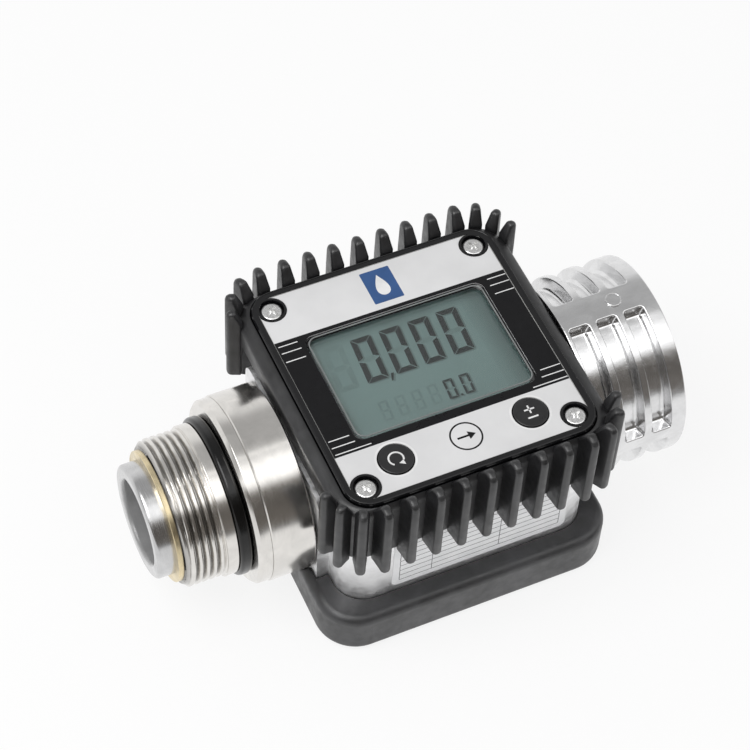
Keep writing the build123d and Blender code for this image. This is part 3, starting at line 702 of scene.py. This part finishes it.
    def set_ramp(self, ramp):
        """What polished metal mirrors, from the reader's horizon over the top to the far horizon: a dark
        room with slightly warm tones, a broad white panel, a narrow strip overhead and a grey ceiling.
        Each stop has its degrees and its tone."""
        stops = ((0, 0.10), (30, 0.07), (46, 0.10), (55, 0.90), (64, 1.0), (78, 0.85), (84, 0.55),
                 (87, 0.40), (90, 0.95), (93, 0.38), (97, 0.28), (125, 0.27), (140, 0.30), (152, 0.52),
                 (180, 0.60))
        room_top = 50
        for degrees, bright in stops[1:-1]:
            ramp.elements.new(degrees / 180)
        for element, (degrees, bright) in zip(ramp.elements, stops):
            warmth = 0.16 if degrees < room_top else 0.0
            element.color = (bright, bright * (1 - warmth / 2), bright * (1 - warmth), 1)


class FUELMETER_OT_cast_metal(bpy.types.Operator):
    """Cast body with its ribbed collar, and the turned inlet spigot"""
    bl_idname = "fuelmeter.cast_metal"
    bl_label = "Cast Metal"

    def execute(self, context):
        metal = context.scene.fuel_meter_colours.aluminium
        coat_nodes("cast_body", cast_finish("cast_aluminium", metal, 0.46, 0.2))
        coat_nodes("cast_spigot", self.spigot_finish(metal))
        pin_radius, pin_x, pin_level, groove = 2.45 * MM, 66.6 * MM, 68.78 * MM, 0.2 * MM
        ring = bead("ejector_ring", pin_radius, pin_radius, pin_radius, (pin_x, 0), pin_level, groove)
        settle(ring, "meter", "cast_body", turned_finish("ejector_ring", shade(metal, 0.85), 0.2))
        back, front, inner, outer = 79.3, 79.62, 26.0, 32.5
        cut = np.array([(back, inner), (back, outer), (front, outer), (front, inner)]) * MM
        facing = turned("outlet_facing", cut, AXIS_HEIGHT)
        settle(facing, "meter", "cast_body", faced_finish("faced_aluminium", shade(metal, 0.9), 0.28))
        sizes = context.scene.fuel_meter_sizes
        self.make_outlet_thread(sizes, turned_finish("cut_thread", shade(metal, 0.85), 0.24))
        return {"FINISHED"}

    def spigot_finish(self, metal):
        """Turned outside and lip; the bore inside is dull, and its darker colour there is painted shade."""
        bore, lip = 13.9 * MM, 14.4 * MM
        material = turned_finish("turned_aluminium", shade(metal, 0.66), 0.22, stain=0.1)
        # Painted shade inside the bore: the colour darkens below the lip's radius.
        darken(material, by_radius(material, bore, lip, low=0.55, high=1.0))
        metallic = by_radius(material, bore, lip, low=0.1, high=1.0)
        material.node_tree.links.new(metallic, shader_input(material, "Metallic"))
        return material

    def make_outlet_thread(self, sizes, material):
        """Ring set into the outlet's wall whose inner radius is the wall's radius less the thread's
        depth times one minus the thread wave, faded out at both ends."""
        low, high = node_box("thread_adapter")
        axis = (low[2] + high[2]) / 2
        start, stop, wall, buried = 60.8 * MM, 77.6 * MM, 23.88 * MM, 24.3 * MM
        pitch, depth = sizes.thread_pitch, sizes.thread_depth
        stations = np.linspace(start, stop, 110)
        inner = np.column_stack((stations, np.full(len(stations), wall)))
        profile = np.concatenate((inner, [(stop, buried), (start, buried)]))
        cut = np.zeros((len(profile), 1))
        cut[:len(inner)] = 1

        def ridge(station, turn):
            height = cut * fade(station, start, stop, pitch, pitch) * depth
            return -height * (1 - thread_wave(station, turn, pitch))

        piece = turned("outlet_thread", profile, axis, 180, ridge)
        settle(piece, "meter", "cast_body", material)


class FUELMETER_OT_fittings(bpy.types.Operator):
    """Threaded adapter, swivel sleeve, thrust ring and sealing ring"""
    bl_idname = "fuelmeter.fittings"
    bl_label = "Swivel Fittings"

    def execute(self, context):
        colours = context.scene.fuel_meter_colours
        nickel = turned_finish("turned_nickel", colours.nickel, 0.19)
        coat_nodes("adapter_nickel", nickel)
        coat_nodes("sleeve_nickel", nickel)
        coat_nodes("thrust_brass", turned_finish("turned_brass", colours.brass, 0.3, stain=0.25))
        coat_nodes("ring_rubber", rubber_finish("ring_rubber", (0.003, 0.003, 0.003), 0.15, 0.3, 0.4))
        threaded = turned_finish("threaded_nickel", colours.nickel, 0.2)
        root, crest = 22.5 * MM, 23.5 * MM
        # Painted shade in the thread's valleys: the colour darkens from the thread's crests towards its roots
        # and below.
        darken(threaded, by_radius(threaded, root, crest, low=0.5, high=1.0))
        self.make_adapter(context.scene.fuel_meter_sizes, threaded)
        return {"FINISHED"}

    def make_adapter(self, sizes, material):
        """Turned adapter with a helical ridge: the radius falls from the crest by the depth times a
        rounded triangle wave of (x / pitch - angle / turn), and by the lead at the thread's start."""
        low, high = node_box("thread_adapter")
        axis = (low[2] + high[2]) / 2
        outer = (high[1] - low[1]) / 2
        front, back = low[0], high[0]
        crest, inner = 23.9015 * MM, 18.5515 * MM
        shoulder, groove, tail = 24.6015 * MM, 22.7015 * MM, 25.0015 * MM
        pitch, depth = sizes.thread_pitch, sizes.thread_depth
        thread_end, shoulder_end = front + 13.0 * MM, front + 16.6 * MM
        groove_end, ring_end = front + 21.0 * MM, front + 25.6 * MM
        ease, wide, bevel = 0.25 * MM, 0.4 * MM, 1.2 * MM
        corners = [(shoulder_end, shoulder), (shoulder_end, groove), (groove_end, groove),
                   (groove_end, outer - bevel), (groove_end + bevel, outer), (ring_end, outer),
                   (ring_end, tail), (back, tail), (back, inner), (front, inner)]
        eased = eased_profile(corners, [ease, ease, ease, wide, wide, ease, ease, ease, ease, wide])
        stations = np.linspace(front, thread_end, 96)
        lead = np.minimum(crest - depth + (stations - front), crest)
        thread = np.column_stack((stations, lead))
        rise = rounded_corner((thread_end, crest), (thread_end, shoulder), (shoulder_end, shoulder), ease)
        profile = np.concatenate((eased, thread, rise))
        threaded = np.zeros((len(profile), 1))
        threaded[len(eased):len(eased) + len(thread)] = 1

        def ridge(station, turn):
            room = np.clip(station - front, 0, depth)
            whole = threaded * fade(station, front, thread_end, rise=0.8 * pitch, fall=0.6 * pitch)
            return -whole * np.minimum(depth * thread_wave(station, turn, pitch), room)

        piece = turned("threaded_adapter", profile, axis, 224, ridge)
        settle(piece, "swivel", "adapter_nickel", material, "thread_adapter")


class FUELMETER_OT_rubber(bpy.types.Operator):
    """Rubber boot and finned bumper"""
    bl_idname = "fuelmeter.rubber"
    bl_label = "Rubber Boot and Bumper"

    def execute(self, context):
        rubber = context.scene.fuel_meter_colours.rubber
        coat_nodes("boot_rubber", rubber_finish("boot_rubber", shade(rubber, 1.9), 0.42))
        low, high = node_box("bumper_frame")
        fin_rise, fin_drop = 5.6 * MM, 1.5 * MM
        bottom, top = low[2] + fin_drop, high[2] - fin_rise
        tongues = [(self.tongue(low[2], high[2], top, *place), False) for place in self.tongue_places()]
        bumper = shells("finned_bumper", [(self.wall(bottom, top), True)] + tongues)
        shade_by_angle(bumper, 48)
        settle(bumper, "meter", "bumper_rubber", rubber_finish("bumper_rubber", rubber, 0.38), "bumper_frame")
        return {"FINISHED"}

    def wall(self, bottom, top):
        """Wall round the cover: rows of one rounded rectangle, each moved in by its inset and set at its
        level. The lower edge stands high along both ends, where the pipe passes."""
        passage_level, ledge, passage_share = 60.0 * MM, 61.0 * MM, 0.962
        run = np.sin(np.linspace(-math.pi / 2, math.pi / 2, 41))
        corner = np.zeros(QUARTER_POINTS, dtype=bool)
        side = np.concatenate((np.abs(run) < passage_share, corner, np.zeros(len(run), dtype=bool), corner))
        low = np.where(np.tile(side, 2), passage_level, bottom)
        outer, cover, body = (46.0, 44.8, 10.5), (41.85, 43.2, 8.5), (42.5, 42.7, 10.0)
        rows = ((outer, 0.6, low, 0.0), (outer, 0.18, low, 0.18), (outer, 0.0, low, 0.6),
                (outer, 0.0, top, -4.0), (outer, 0.0, top, -2.2), ((45.75, 44.6, 10.3), 0.0, top, -1.5),
                ((45.0, 44.2, 10.0), 0.0, top, -0.95), ((43.6, 43.8, 9.4), 0.0, top, -0.3),
                ((42.5, 43.55, 9.0), 0.0, top, 0.0), (cover, -0.15, top, -0.05), (cover, 0.0, top, -0.4),
                (cover, 0.0, ledge, 0.0), (body, 0.0, ledge, 0.0), (body, 0.0, low, 0.4),
                (body, -0.4, low, 0.0))
        grid = []
        for (half_length, half_width, radius), inset, level, lift in rows:
            size = ((half_length - inset) * MM, (half_width - inset) * MM, (radius - inset) * MM)
            height = np.full(len(low), level + lift * MM)
            grid.append(np.column_stack((rounded_ring(*size, run), height)))
        return np.array(grid)

    def tongue_places(self):
        """Base point, outward direction in radians and reach of every fin: nine on each long side and
        three round each corner, mirrored."""
        step, side_y, side_reach = 8.45 * MM, 44.8 * MM, 6.7 * MM
        corner_x, corner_y, corner_radius = 35.5, 34.3, 10.5
        places = []
        for side in (-1, 1):
            for index in range(-4, 5):
                places.append((index * step, side * side_y, side * math.pi / 2, side_reach))
        for degrees, reach in ((68, 5.8), (39, 4.6), (10, 4.0)):
            turn = math.radians(degrees)
            x = (corner_x + corner_radius * math.cos(turn)) * MM
            y = (corner_y + corner_radius * math.sin(turn)) * MM
            for flip_x, flip_y in ((1, 1), (-1, 1), (-1, -1), (1, -1)):
                outward = math.atan2(flip_y * math.sin(turn), flip_x * math.cos(turn))
                places.append((flip_x * x, flip_y * y, outward, reach * MM))
        return places

    def tongue(self, low, top, wall_top, x, y, outward, reach):
        """One fin as a closed skin. Its side outline is moved in by e (1 - cos t) while its half
        thickness grows to the full by e (1 - sin t), for t from 0 to 90 degrees, then the outline
        shrinks to a point in the flank. The thickness falls from the root to the crest and to the tip."""
        foot, edge, tight = 1.0 * MM, 1.24 * MM, 1.26 * MM
        tip, root, crest_loss = 3.0, 1.5, 0.16
        crown = 0.69 * reach
        corners = [(-foot, low), (reach, low), (reach, top), (reach - crown, top),
                   (-foot, wall_top + 0.4 * MM)]
        radii = [tight, 1.5 * MM, 0.62 * crown, max(0.4 * crown, tight), tight]
        roll = np.linspace(0, math.pi / 2, 6)
        outlines = [divided(eased_profile(corners, radii, 4, inset), 3)
                    for inset in edge * (1 - np.cos(roll))]
        middle = outlines[-1].mean(axis=0)
        outlines += [middle + share * (outlines[-1] - middle) for share in (0.6, 0.0)]
        outlines = np.array(outlines)
        bare = np.concatenate((edge * (1 - np.sin(roll)), [0, 0]))[:, None]
        across = np.clip(outlines[..., 0] / reach, 0, 1)
        up = np.clip((outlines[..., 1] - wall_top) / (top - wall_top), 0, 1)
        thick = (tip + root * (1 - across) ** 1.5) * (1 - crest_loss * up) * MM
        half = thick / 2 - bare
        both = np.concatenate((outlines[::-1], outlines))
        offset = np.concatenate((-half[::-1], half))
        cosine, sine = math.cos(outward), math.sin(outward)
        return np.stack((x + both[..., 0] * cosine - offset * sine, y + both[..., 0] * sine + offset * cosine,
                         both[..., 1]), axis=-1)


class FUELMETER_OT_cover(bpy.types.Operator):
    """Gloss cover, its screws, the face label and the rating plate"""
    bl_idname = "fuelmeter.cover"
    bl_label = "Cover and Label"

    def execute(self, context):
        black = plastic_finish("cover_plastic", (0.006, 0.006, 0.007), 0.12)
        coat_nodes("cover_plastic", black)
        level = node_box("face_cover")[1][2] - 0.05 * MM
        rim = bead("cover_bead", half_length=41.2 * MM, half_width=42.55 * MM, corner=8.0 * MM,
                   centre=(0, 0), level=level, radius=0.28 * MM)
        settle(rim, "meter", "cover_plastic", black)
        label, out = node_box("face_label")[1], 0.12 * MM
        size = (label[0] + out, label[1] + out, LABEL_CORNER + out)
        # A bead round the label's edge; its light grey against the black rim is a painted highlight line.
        edge = bead("label_edge_highlight", *size, centre=(0, 0), level=label[2] - 0.02 * MM, radius=0.15 * MM)
        settle(edge, "meter", "label_silver", plastic_finish("label_edge_highlight", (0.34, 0.34, 0.33), 0.2))
        coat_nodes("screw_steel", self.screw_finish())
        coat_nodes("label_silver", self.label_finish(context.scene.fuel_meter_colours.label))
        coat_nodes("rating_label", self.film_finish())
        self.rule_plate(context.scene.fuel_meter_sizes.print_height)
        return {"FINISHED"}

    def screw_finish(self):
        """Zinc plated steel with a mottled tone."""
        steel = finish("zinc_screw", (0.86, 0.86, 0.86), 0.3, metallic=1.0)
        tint(steel, grain(steel, 1.1 * MM, detail=5, distortion=1.0), (0.72, 0.72, 0.71), (0.95, 0.95, 0.95))
        gloss(steel, grain(steel, 0.5 * MM, detail=4), 0.2, 0.45)
        relief(steel, grain(steel, 0.4 * MM, detail=3), 0.03 * MM, 0.5)
        return steel

    def label_finish(self, colour):
        """Silver grey film on the face."""
        silver = finish("label_silver", colour, 0.36, Specular_IOR_Level=0.5)
        tint(silver, grain(silver, 16 * MM, detail=5), shade(colour, 0.95), shade(colour, 1.03))
        gloss(silver, grain(silver, 4 * MM, detail=5), 0.3, 0.44)
        relief(silver, grain(silver, 0.3 * MM, detail=2), 0.003 * MM, 0.4)
        return silver

    def film_finish(self):
        """White film of the rating plate, slightly wavy."""
        film = finish("rating_film", (0.90, 0.90, 0.91), 0.4)
        tint(film, grain(film, 7 * MM, detail=5), (0.84, 0.85, 0.86), (0.93, 0.93, 0.94))
        gloss(film, grain(film, 3 * MM, detail=4), 0.28, 0.5)
        relief(film, grain(film, 6 * MM, detail=3, distortion=1.0), 0.12 * MM, 0.5)
        return film

    def rule_plate(self, layer):
        """Empty ruled form on the rating plate: level lines at an even step, with short upright lines
        between them. It is laid out flat as (x, height), and then its Y and Z change places."""
        low, high = node_box("rating_plate")
        thick, edge, step, corner = 0.2 * MM, 2.4 * MM, 2.6 * MM, 0.04 * MM
        middle = (low[0] + high[0]) / 2
        reach = high[0] - low[0] - 2 * edge
        levels = low[2] + edge + step * np.arange(8)
        lines = [rounded_outline(reach, thick, corner, (middle, level), 2) for level in levels]
        for x in middle + reach * np.array([-0.5, -0.3, 0.12, 0.5]):
            for level in levels[:-1]:
                lines.append(rounded_outline(thick, step - 1.4 * thick, corner, (x, level + step / 2), 2))
        rules = plates("plate_rules", lines, low[1] - layer, low[1] + layer)
        points = np.empty(3 * len(rules.data.vertices), dtype=np.float32)
        rules.data.vertices.foreach_get("co", points)
        rules.data.vertices.foreach_set("co", points.reshape(-1, 3)[:, [0, 2, 1]].ravel())
        rules.data.flip_normals()
        settle(rules, "meter", "rating_label", plastic_finish("form_ink", (0.05, 0.05, 0.055), 0.4, 0.002))


class FUELMETER_OT_face_print(bpy.types.Operator):
    """Black band, white lines and plain symbols printed on the label"""
    bl_idname = "fuelmeter.face_print"
    bl_label = "Face Print"

    def execute(self, context):
        colours = context.scene.fuel_meter_colours
        layer = context.scene.fuel_meter_sizes.print_height
        half_length, _, top = node_box("face_label")[1]
        black = plastic_finish("band_ink", colours.band, 0.3, 0.003, 0.3)
        white = plastic_finish("white_ink", colours.print_white, 0.4, 0.003)
        blue = plastic_finish("badge_ink", colours.badge, 0.35, 0.003)
        first, second = (top - layer, top + layer), (top, top + 1.6 * layer)
        settle(self.band_plate(half_length, *first), "meter", "label_silver", black)
        badge = rounded_outline(length=10.0 * MM, width=13.0 * MM, radius=0.4 * MM,
                                centre=(1.0 * MM, 32.2 * MM))
        drop = drop_outline(height=8.4 * MM, centre=(1.0 * MM, 32.4 * MM))
        arrow = self.flow_mark(centre=(0.6 * MM, -30.6 * MM))
        for name, outlines, levels, ink in (
                ("corner_lines", self.line_outlines(), second, white), ("badge_plate", [badge], first, blue),
                ("badge_drop", [drop], second, white), ("flow_mark", arrow, first, black)):
            settle(plates(name, outlines, *levels), "meter", "label_silver", ink)
        return {"FINISHED"}

    def band_plate(self, half_length, low, high):
        """Band across the label with the window's hole, as a rounded outline round a rounded hole."""
        foot, head, lip = -23.1 * MM, 23.4 * MM, 1.05 * MM
        window_low, window_high = node_box("display_window")
        length, width = (window_high - window_low)[:2] - 2 * lip
        centre = (0, (window_high[1] + window_low[1]) / 2)
        outer = rounded_outline(2 * half_length, head - foot, 0.02 * MM, (0, (foot + head) / 2))
        inner = rounded_outline(length, width, 3.2 * MM, centre)
        return framed_plate("label_band", outer, inner, low, high)

    def line_outlines(self):
        """Three short lines in each corner of the band, longer towards the band's lower edge. Height
        and reach in millimetres."""
        thick, corner, ends = 0.34 * MM, 0.1 * MM, {-1: 38.6, 1: 39.1}
        upper = [(21.6, 6.4), (18.9, 6.6), (15.4, 6.6)]
        lower = [(-16.9, 6.8), (-19.5, 7.6), (-22.1, 11.8)]
        return [rounded_outline(reach * MM, thick, corner, (side * (end - reach / 2) * MM, y * MM), 2)
                for y, reach in upper + lower for side, end in ends.items()]

    def flow_mark(self, centre):
        """Plain arrow in a ring, pointing with the flow."""
        ring, width = 4.9 * MM, 0.55 * MM
        upper = arc_band(ring, width, 0.0, math.pi, centre)
        lower = arc_band(ring, width, math.pi, 2 * math.pi, centre)
        tail, neck, tip, shaft, barb = -2.9, 0.8, 3.2, 0.35, 1.5
        arrow = np.array([(tail, -shaft), (neck, -shaft), (neck, -barb), (tip, 0.0), (neck, barb),
                          (neck, shaft), (tail, shaft)])
        return [upper, lower, arrow * MM + np.asarray(centre)]


class FUELMETER_OT_display(bpy.types.Operator):
    """Window, display ground and its segments"""
    bl_idname = "fuelmeter.display"
    bl_label = "Display"

    def execute(self, context):
        colours = context.scene.fuel_meter_colours
        coat_nodes("window_clear", self.clear_finish())
        window_low, window_high = node_box("display_window")
        middle = ((window_low + window_high) / 2)[:2]
        label_top = node_box("face_label")[1][2]
        trim = bead("window_trim", half_length=29.55 * MM, half_width=20.15 * MM, corner=3.1 * MM,
                    centre=middle, level=label_top, radius=0.24 * MM)
        settle(trim, "meter", "window_clear", plastic_finish("window_bevel", (0.22, 0.23, 0.23), 0.16))
        coat_nodes("display_glass", self.ground_with_painted_shade(colours.display))
        lit, unlit = self.segment_outlines(context.scene.fuel_meter_sizes)
        shift = np.array([0.45, -0.5]) * MM
        cast = [outline + shift for outline in lit]
        shadow = plastic_finish("segment_shadow", shade(colours.display, 0.62), 0.35, 0.002)
        ink = plastic_finish("segment_ink", colours.segment, 0.4, 0.002)
        ghost = plastic_finish("ghost_segment", shade(colours.display, 0.86), 0.35, 0.002)
        top, under = node_box("display_glass")[1][2], 0.02 * MM
        for name, outlines, proud, material in (("digit_shadows", cast, 0.02 * MM, shadow),
                                                ("display_digits", lit, 0.03 * MM, ink),
                                                ("unlit_digits", unlit, 0.015 * MM, ghost)):
            digits = plates(name, outlines, top - under, top + proud)
            settle(digits, "meter", "display_glass", material)
        return {"FINISHED"}

    def ground_with_painted_shade(self, colour):
        """Display ground with painted shade: it darkens beyond the lit field, towards its right end and its
        upper edge, where the window's frame shades it.
        """
        ground = finish("display_ground", colour, 0.3)
        tint(ground, grain(ground, 30 * MM, detail=3), shade(colour, 0.94), shade(colour, 1.05))
        gloss(ground, grain(ground, 9 * MM, detail=2), 0.28, 0.34)
        # Painted shade: the colour is darkened towards the right end and the upper edge of the display, where
        # the frame shades it.
        for axis, start, stop, dim in (("X", 21.4, 22.2, 0.90), ("X", 22.2, 27.5, 0.72),
                                       ("Y", 16.5, 21.0, 0.62)):
            darken(ground, along(ground, axis, start * MM, stop * MM, 1.0, dim, "SMOOTHSTEP"))
        return ground

    def clear_finish(self):
        """Clear window that lets lamp light through."""
        material = finish("window_clear", (0.98, 0.99, 0.99), 0.01, Specular_IOR_Level=0.35,
                          Transmission_Weight=1.0, IOR=1.45)
        gloss(material, grain(material, 12 * MM, detail=2), 0.004, 0.014)
        tree = material.node_tree
        shadow_ray = add(tree, "LightPath").outputs["Is Shadow Ray"]
        glass = tree.nodes["Principled BSDF"].outputs["BSDF"]
        through = add(tree, "BsdfTransparent").outputs["BSDF"]
        both = mix_shaders(tree, shadow_ray, glass, through)
        tree.links.new(both, tree.nodes["Material Output"].inputs["Surface"])
        return material

    def digit(self, lit_bars, origin, height, width, bar, slant):
        """Seven bars of one digit, mitred at the corners and cut aslant at the middle, as lit and unlit
        outlines. Corner (0, 0) is low left, and x grows by y tan(slant). In the corners h is the height,
        w the width, t the bar, g the gap between bars and m the middle's height."""
        h, w, t, g = height, width, bar, 0.09 * bar
        m, inner = h / 2, width - bar
        bars = {
            "a": [(g, h), (t + g, h - t), (inner - g, h - t), (w - g, h)],
            "b": [(w, h - g), (inner, h - t - g), (inner, m + t / 2 + g), (w, m + g)],
            "c": [(w, m - g), (inner, m - t / 2 - g), (inner, t + g), (w, g)],
            "d": [(g, 0), (w - g, 0), (inner - g, t), (t + g, t)],
            "e": [(0, m - g), (0, g), (t, t + g), (t, m - t / 2 - g)],
            "f": [(0, h - g), (0, m + g), (t, m + t / 2 + g), (t, h - t - g)],
            "g": [(t / 2 + g, m), (t + g, m - t / 2), (inner - g, m - t / 2), (w - t / 2 - g, m),
                  (inner - g, m + t / 2), (t + g, m + t / 2)],
        }
        lit, unlit = [], []
        for name, corners in bars.items():
            outline = np.array(corners)
            outline[:, 0] += outline[:, 1] * math.tan(slant)
            following = np.roll(outline, -1, axis=0)
            area = (outline[:, 0] * following[:, 1] - outline[:, 1] * following[:, 0]).sum()
            outline = (outline if area > 0 else outline[::-1]) + np.asarray(origin)
            (lit if name in lit_bars else unlit).append(outline)
        return lit, unlit

    def segment_outlines(self, sizes):
        """Large 0,000 with a blank place before it, small 0.0 with blank places before it. Each row has
        its places, its blank places, the left end, foot and step in millimetres, the digits' height,
        their width and bar in millimetres, and its comma or point."""
        lit, unlit = [], []
        comma = np.array([(-10.6, -1.7), (-10.1, -1.7), (-8.8, 1.1), (-9.9, 1.1)]) * MM
        point = rounded_outline(0.8 * MM, 0.8 * MM, 0.15 * MM, (7.1 * MM, -14.6 * MM), 3)
        for places, blank, left, foot, step, height, width, bar, mark in (
                (5, 1, -27.53, -0.05, 9.73, sizes.digit_height, 6.95, 1.85, comma),
                (6, 4, -18.9, -15.05, 5.45, sizes.small_digit_height, 3.2, 0.8, point)):
            for index in range(places):
                origin = ((left + index * step) * MM, foot * MM)
                shown = "abcdef" if index >= blank else ""
                rows = self.digit(shown, origin, height, width * MM, bar * MM, sizes.digit_slant)
                lit += rows[0]
                unlit += rows[1]
            lit.append(mark)
        return lit, unlit


class FUELMETER_OT_keys(bpy.types.Operator):
    """Two round keys with a printed ring and symbol"""
    bl_idname = "fuelmeter.keys"
    bl_label = "Keys"

    def execute(self, context):
        layer = context.scene.fuel_meter_sizes.print_height
        coat_nodes("key_rubber", rubber_finish("key_rubber", (0.005, 0.005, 0.006), 0.34, dust=0.3))
        white = plastic_finish("key_print", context.scene.fuel_meter_colours.print_white, 0.4, 0.003)
        keys = ("reset_key", "calibration_key")
        boxes = {node: node_box(node) for node in keys}
        centres = {node: ((low + high) / 2)[:2] for node, (low, high) in boxes.items()}
        for node, body, symbol in zip(keys, ("reset_button", "calibration_button"),
                                      (self.turn_symbol, self.level_symbol)):
            top = boxes[node][1][2]
            piece = plates(node + "_symbol", symbol(centres[node]), top - layer, top + layer)
            settle(piece, body, "key_rubber", white)
        top, outer, inner = node_box("face_label")[1][2], 6.5 * MM, 5.85 * MM
        for node, centre in centres.items():
            ring = framed_plate(node + "_ring", circle_outline(outer, centre), circle_outline(inner, centre),
                                top - layer, top + layer)
            settle(ring, "meter", "label_silver", white)
        steel = turned_finish("pressed_dome", (0.62, 0.62, 0.61), 0.28)
        for node, joint in (("reset_snap_dome", "reset_press"),
                            ("calibration_snap_dome", "calibration_press")):
            low, high = node_box(node)
            foot = ((low[0] + high[0]) / 2, (low[1] + high[1]) / 2, low[2])
            dome = self.spring_dome(node + "_skin", foot, (high[0] - low[0]) / 2, high[2] - low[2])
            settle(dome, "meter", SLOT_OF[node], steel, node)
            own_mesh(dome)
        return {"FINISHED"}

    def spring_dome(self, name, foot, reach, height):
        """Thin spherical cap under a key. The sphere's radius is (reach^2 + height^2) / (2 height); the
        level at distance r from the middle is sqrt(radius^2 - r^2) less the centre's depth, and the
        inner skin has the radius less the wall."""
        wall = 0.25 * MM
        radius = (reach ** 2 + height ** 2) / (2 * height)
        inner = radius - wall
        depth = radius - height
        outward = np.linspace(0, reach, 12)
        inward = np.linspace(math.sqrt(inner ** 2 - depth ** 2), 0, 12)
        away = np.concatenate((outward, inward))[:, None]
        rise = np.concatenate((np.sqrt(radius ** 2 - outward ** 2), np.sqrt(inner ** 2 - inward ** 2)))
        angles = np.linspace(0, 2 * math.pi, 48, endpoint=False)
        level = np.repeat(np.maximum(rise - depth, 0)[:, None], len(angles), axis=1)
        x, y = foot[0] + away * np.cos(angles), foot[1] + away * np.sin(angles)
        dome = shells(name, [(np.stack((x, y, foot[2] + level), axis=-1), False)])
        shade_by_angle(dome)
        return dome

    def turn_symbol(self, centre):
        """Three quarter turn with an arrow head."""
        radius, width, start, stop = 2.3 * MM, 0.55 * MM, math.radians(-30), math.radians(235)
        arc = arc_band(radius, width, start, stop, centre)
        head = np.array([(-0.1, 0.0), (0.9, -1.5), (-1.2, -1.5)]) * MM
        cosine, sine = math.cos(start), math.sin(start)
        spin = np.array([[cosine, -sine], [sine, cosine]])
        return [arc, head @ spin.T + centre + radius * np.array([cosine, sine])]

    def level_symbol(self, centre):
        """Plus and minus, one above the other."""
        thick, corner = 0.55 * MM, 0.1 * MM
        plus = (centre[0], centre[1] + 1.1 * MM)
        across = rounded_outline(3.4 * MM, thick, corner, plus, 2)
        upright = rounded_outline(thick, 3.0 * MM, corner, plus, 2)
        minus = rounded_outline(3.4 * MM, thick, corner, (centre[0], centre[1] - 1.9 * MM), 2)
        return [across, upright, minus]


class FUELMETER_OT_inner_works(bpy.types.Operator):
    """Turbine, electronics, cells and seals inside the body"""
    bl_idname = "fuelmeter.inner_works"
    bl_label = "Inner Works"

    def execute(self, context):
        plastics = {
            "holder_plastic": ((0.72, 0.72, 0.70), 0.45), "board": ((0.02, 0.16, 0.06), 0.35),
            "sensor_plastic": ((0.03, 0.03, 0.03), 0.4), "cell_sleeve": ((0.10, 0.11, 0.13), 0.3),
            "guide_plastic": ((0.74, 0.71, 0.62), 0.35), "rotor_plastic": ((0.80, 0.78, 0.72), 0.35),
            "magnet": ((0.12, 0.12, 0.13), 0.35), "bush": ((0.25, 0.25, 0.27), 0.25),
        }
        for slot, (colour, roughness) in plastics.items():
            coat_nodes(slot, plastic_finish(slot, colour, roughness))
        for slot in ("dome_steel", "contact_steel", "axle_steel", "circlip_steel", "wire_steel"):
            coat_nodes(slot, turned_finish(slot, (0.62, 0.62, 0.61), 0.28))
        for slot in ("gasket_rubber", "seal_rubber"):
            coat_nodes(slot, rubber_finish(slot, (0.02, 0.02, 0.02), 0.45))
        return {"FINISHED"}


STEPS = (FUELMETER_OT_stage, FUELMETER_OT_cast_metal, FUELMETER_OT_fittings, FUELMETER_OT_rubber,
         FUELMETER_OT_cover, FUELMETER_OT_face_print, FUELMETER_OT_display, FUELMETER_OT_keys,
         FUELMETER_OT_inner_works)


class FUELMETER_PT_panel(bpy.types.Panel):
    """Lists the steps that dress the fuel meter"""
    bl_idname = "FUELMETER_PT_panel"
    bl_label = "Fuel Meter"
    bl_space_type = "VIEW_3D"
    bl_region_type = "UI"
    bl_category = "Fuel Meter"

    def draw(self, context):
        for word in GROUPS:
            group = getattr(context.scene, word)
            box = self.layout.box()
            for name in group.__annotations__:
                box.prop(group, name)
        for step in STEPS:
            self.layout.operator(step.bl_idname)


GROUPS = {"fuel_meter_sizes": FuelMeterSizes, "fuel_meter_colours": FuelMeterColours,
          "fuel_meter_studio": FuelMeterStudio}


def register():
    for name, group in GROUPS.items():
        bpy.utils.register_class(group)
        setattr(bpy.types.Scene, name, bpy.props.PointerProperty(type=group))
    for step in STEPS:
        bpy.utils.register_class(step)
    bpy.utils.register_class(FUELMETER_PT_panel)


def unregister():
    bpy.utils.unregister_class(FUELMETER_PT_panel)
    for step in reversed(STEPS):
        bpy.utils.unregister_class(step)
    for name, group in reversed(GROUPS.items()):
        delattr(bpy.types.Scene, name)
        bpy.utils.unregister_class(group)


def main():
    register()
    for step in STEPS:
        group, word = step.bl_idname.split(".")
        getattr(getattr(bpy.ops, group), word)()


if __name__ == "__main__":
    main()
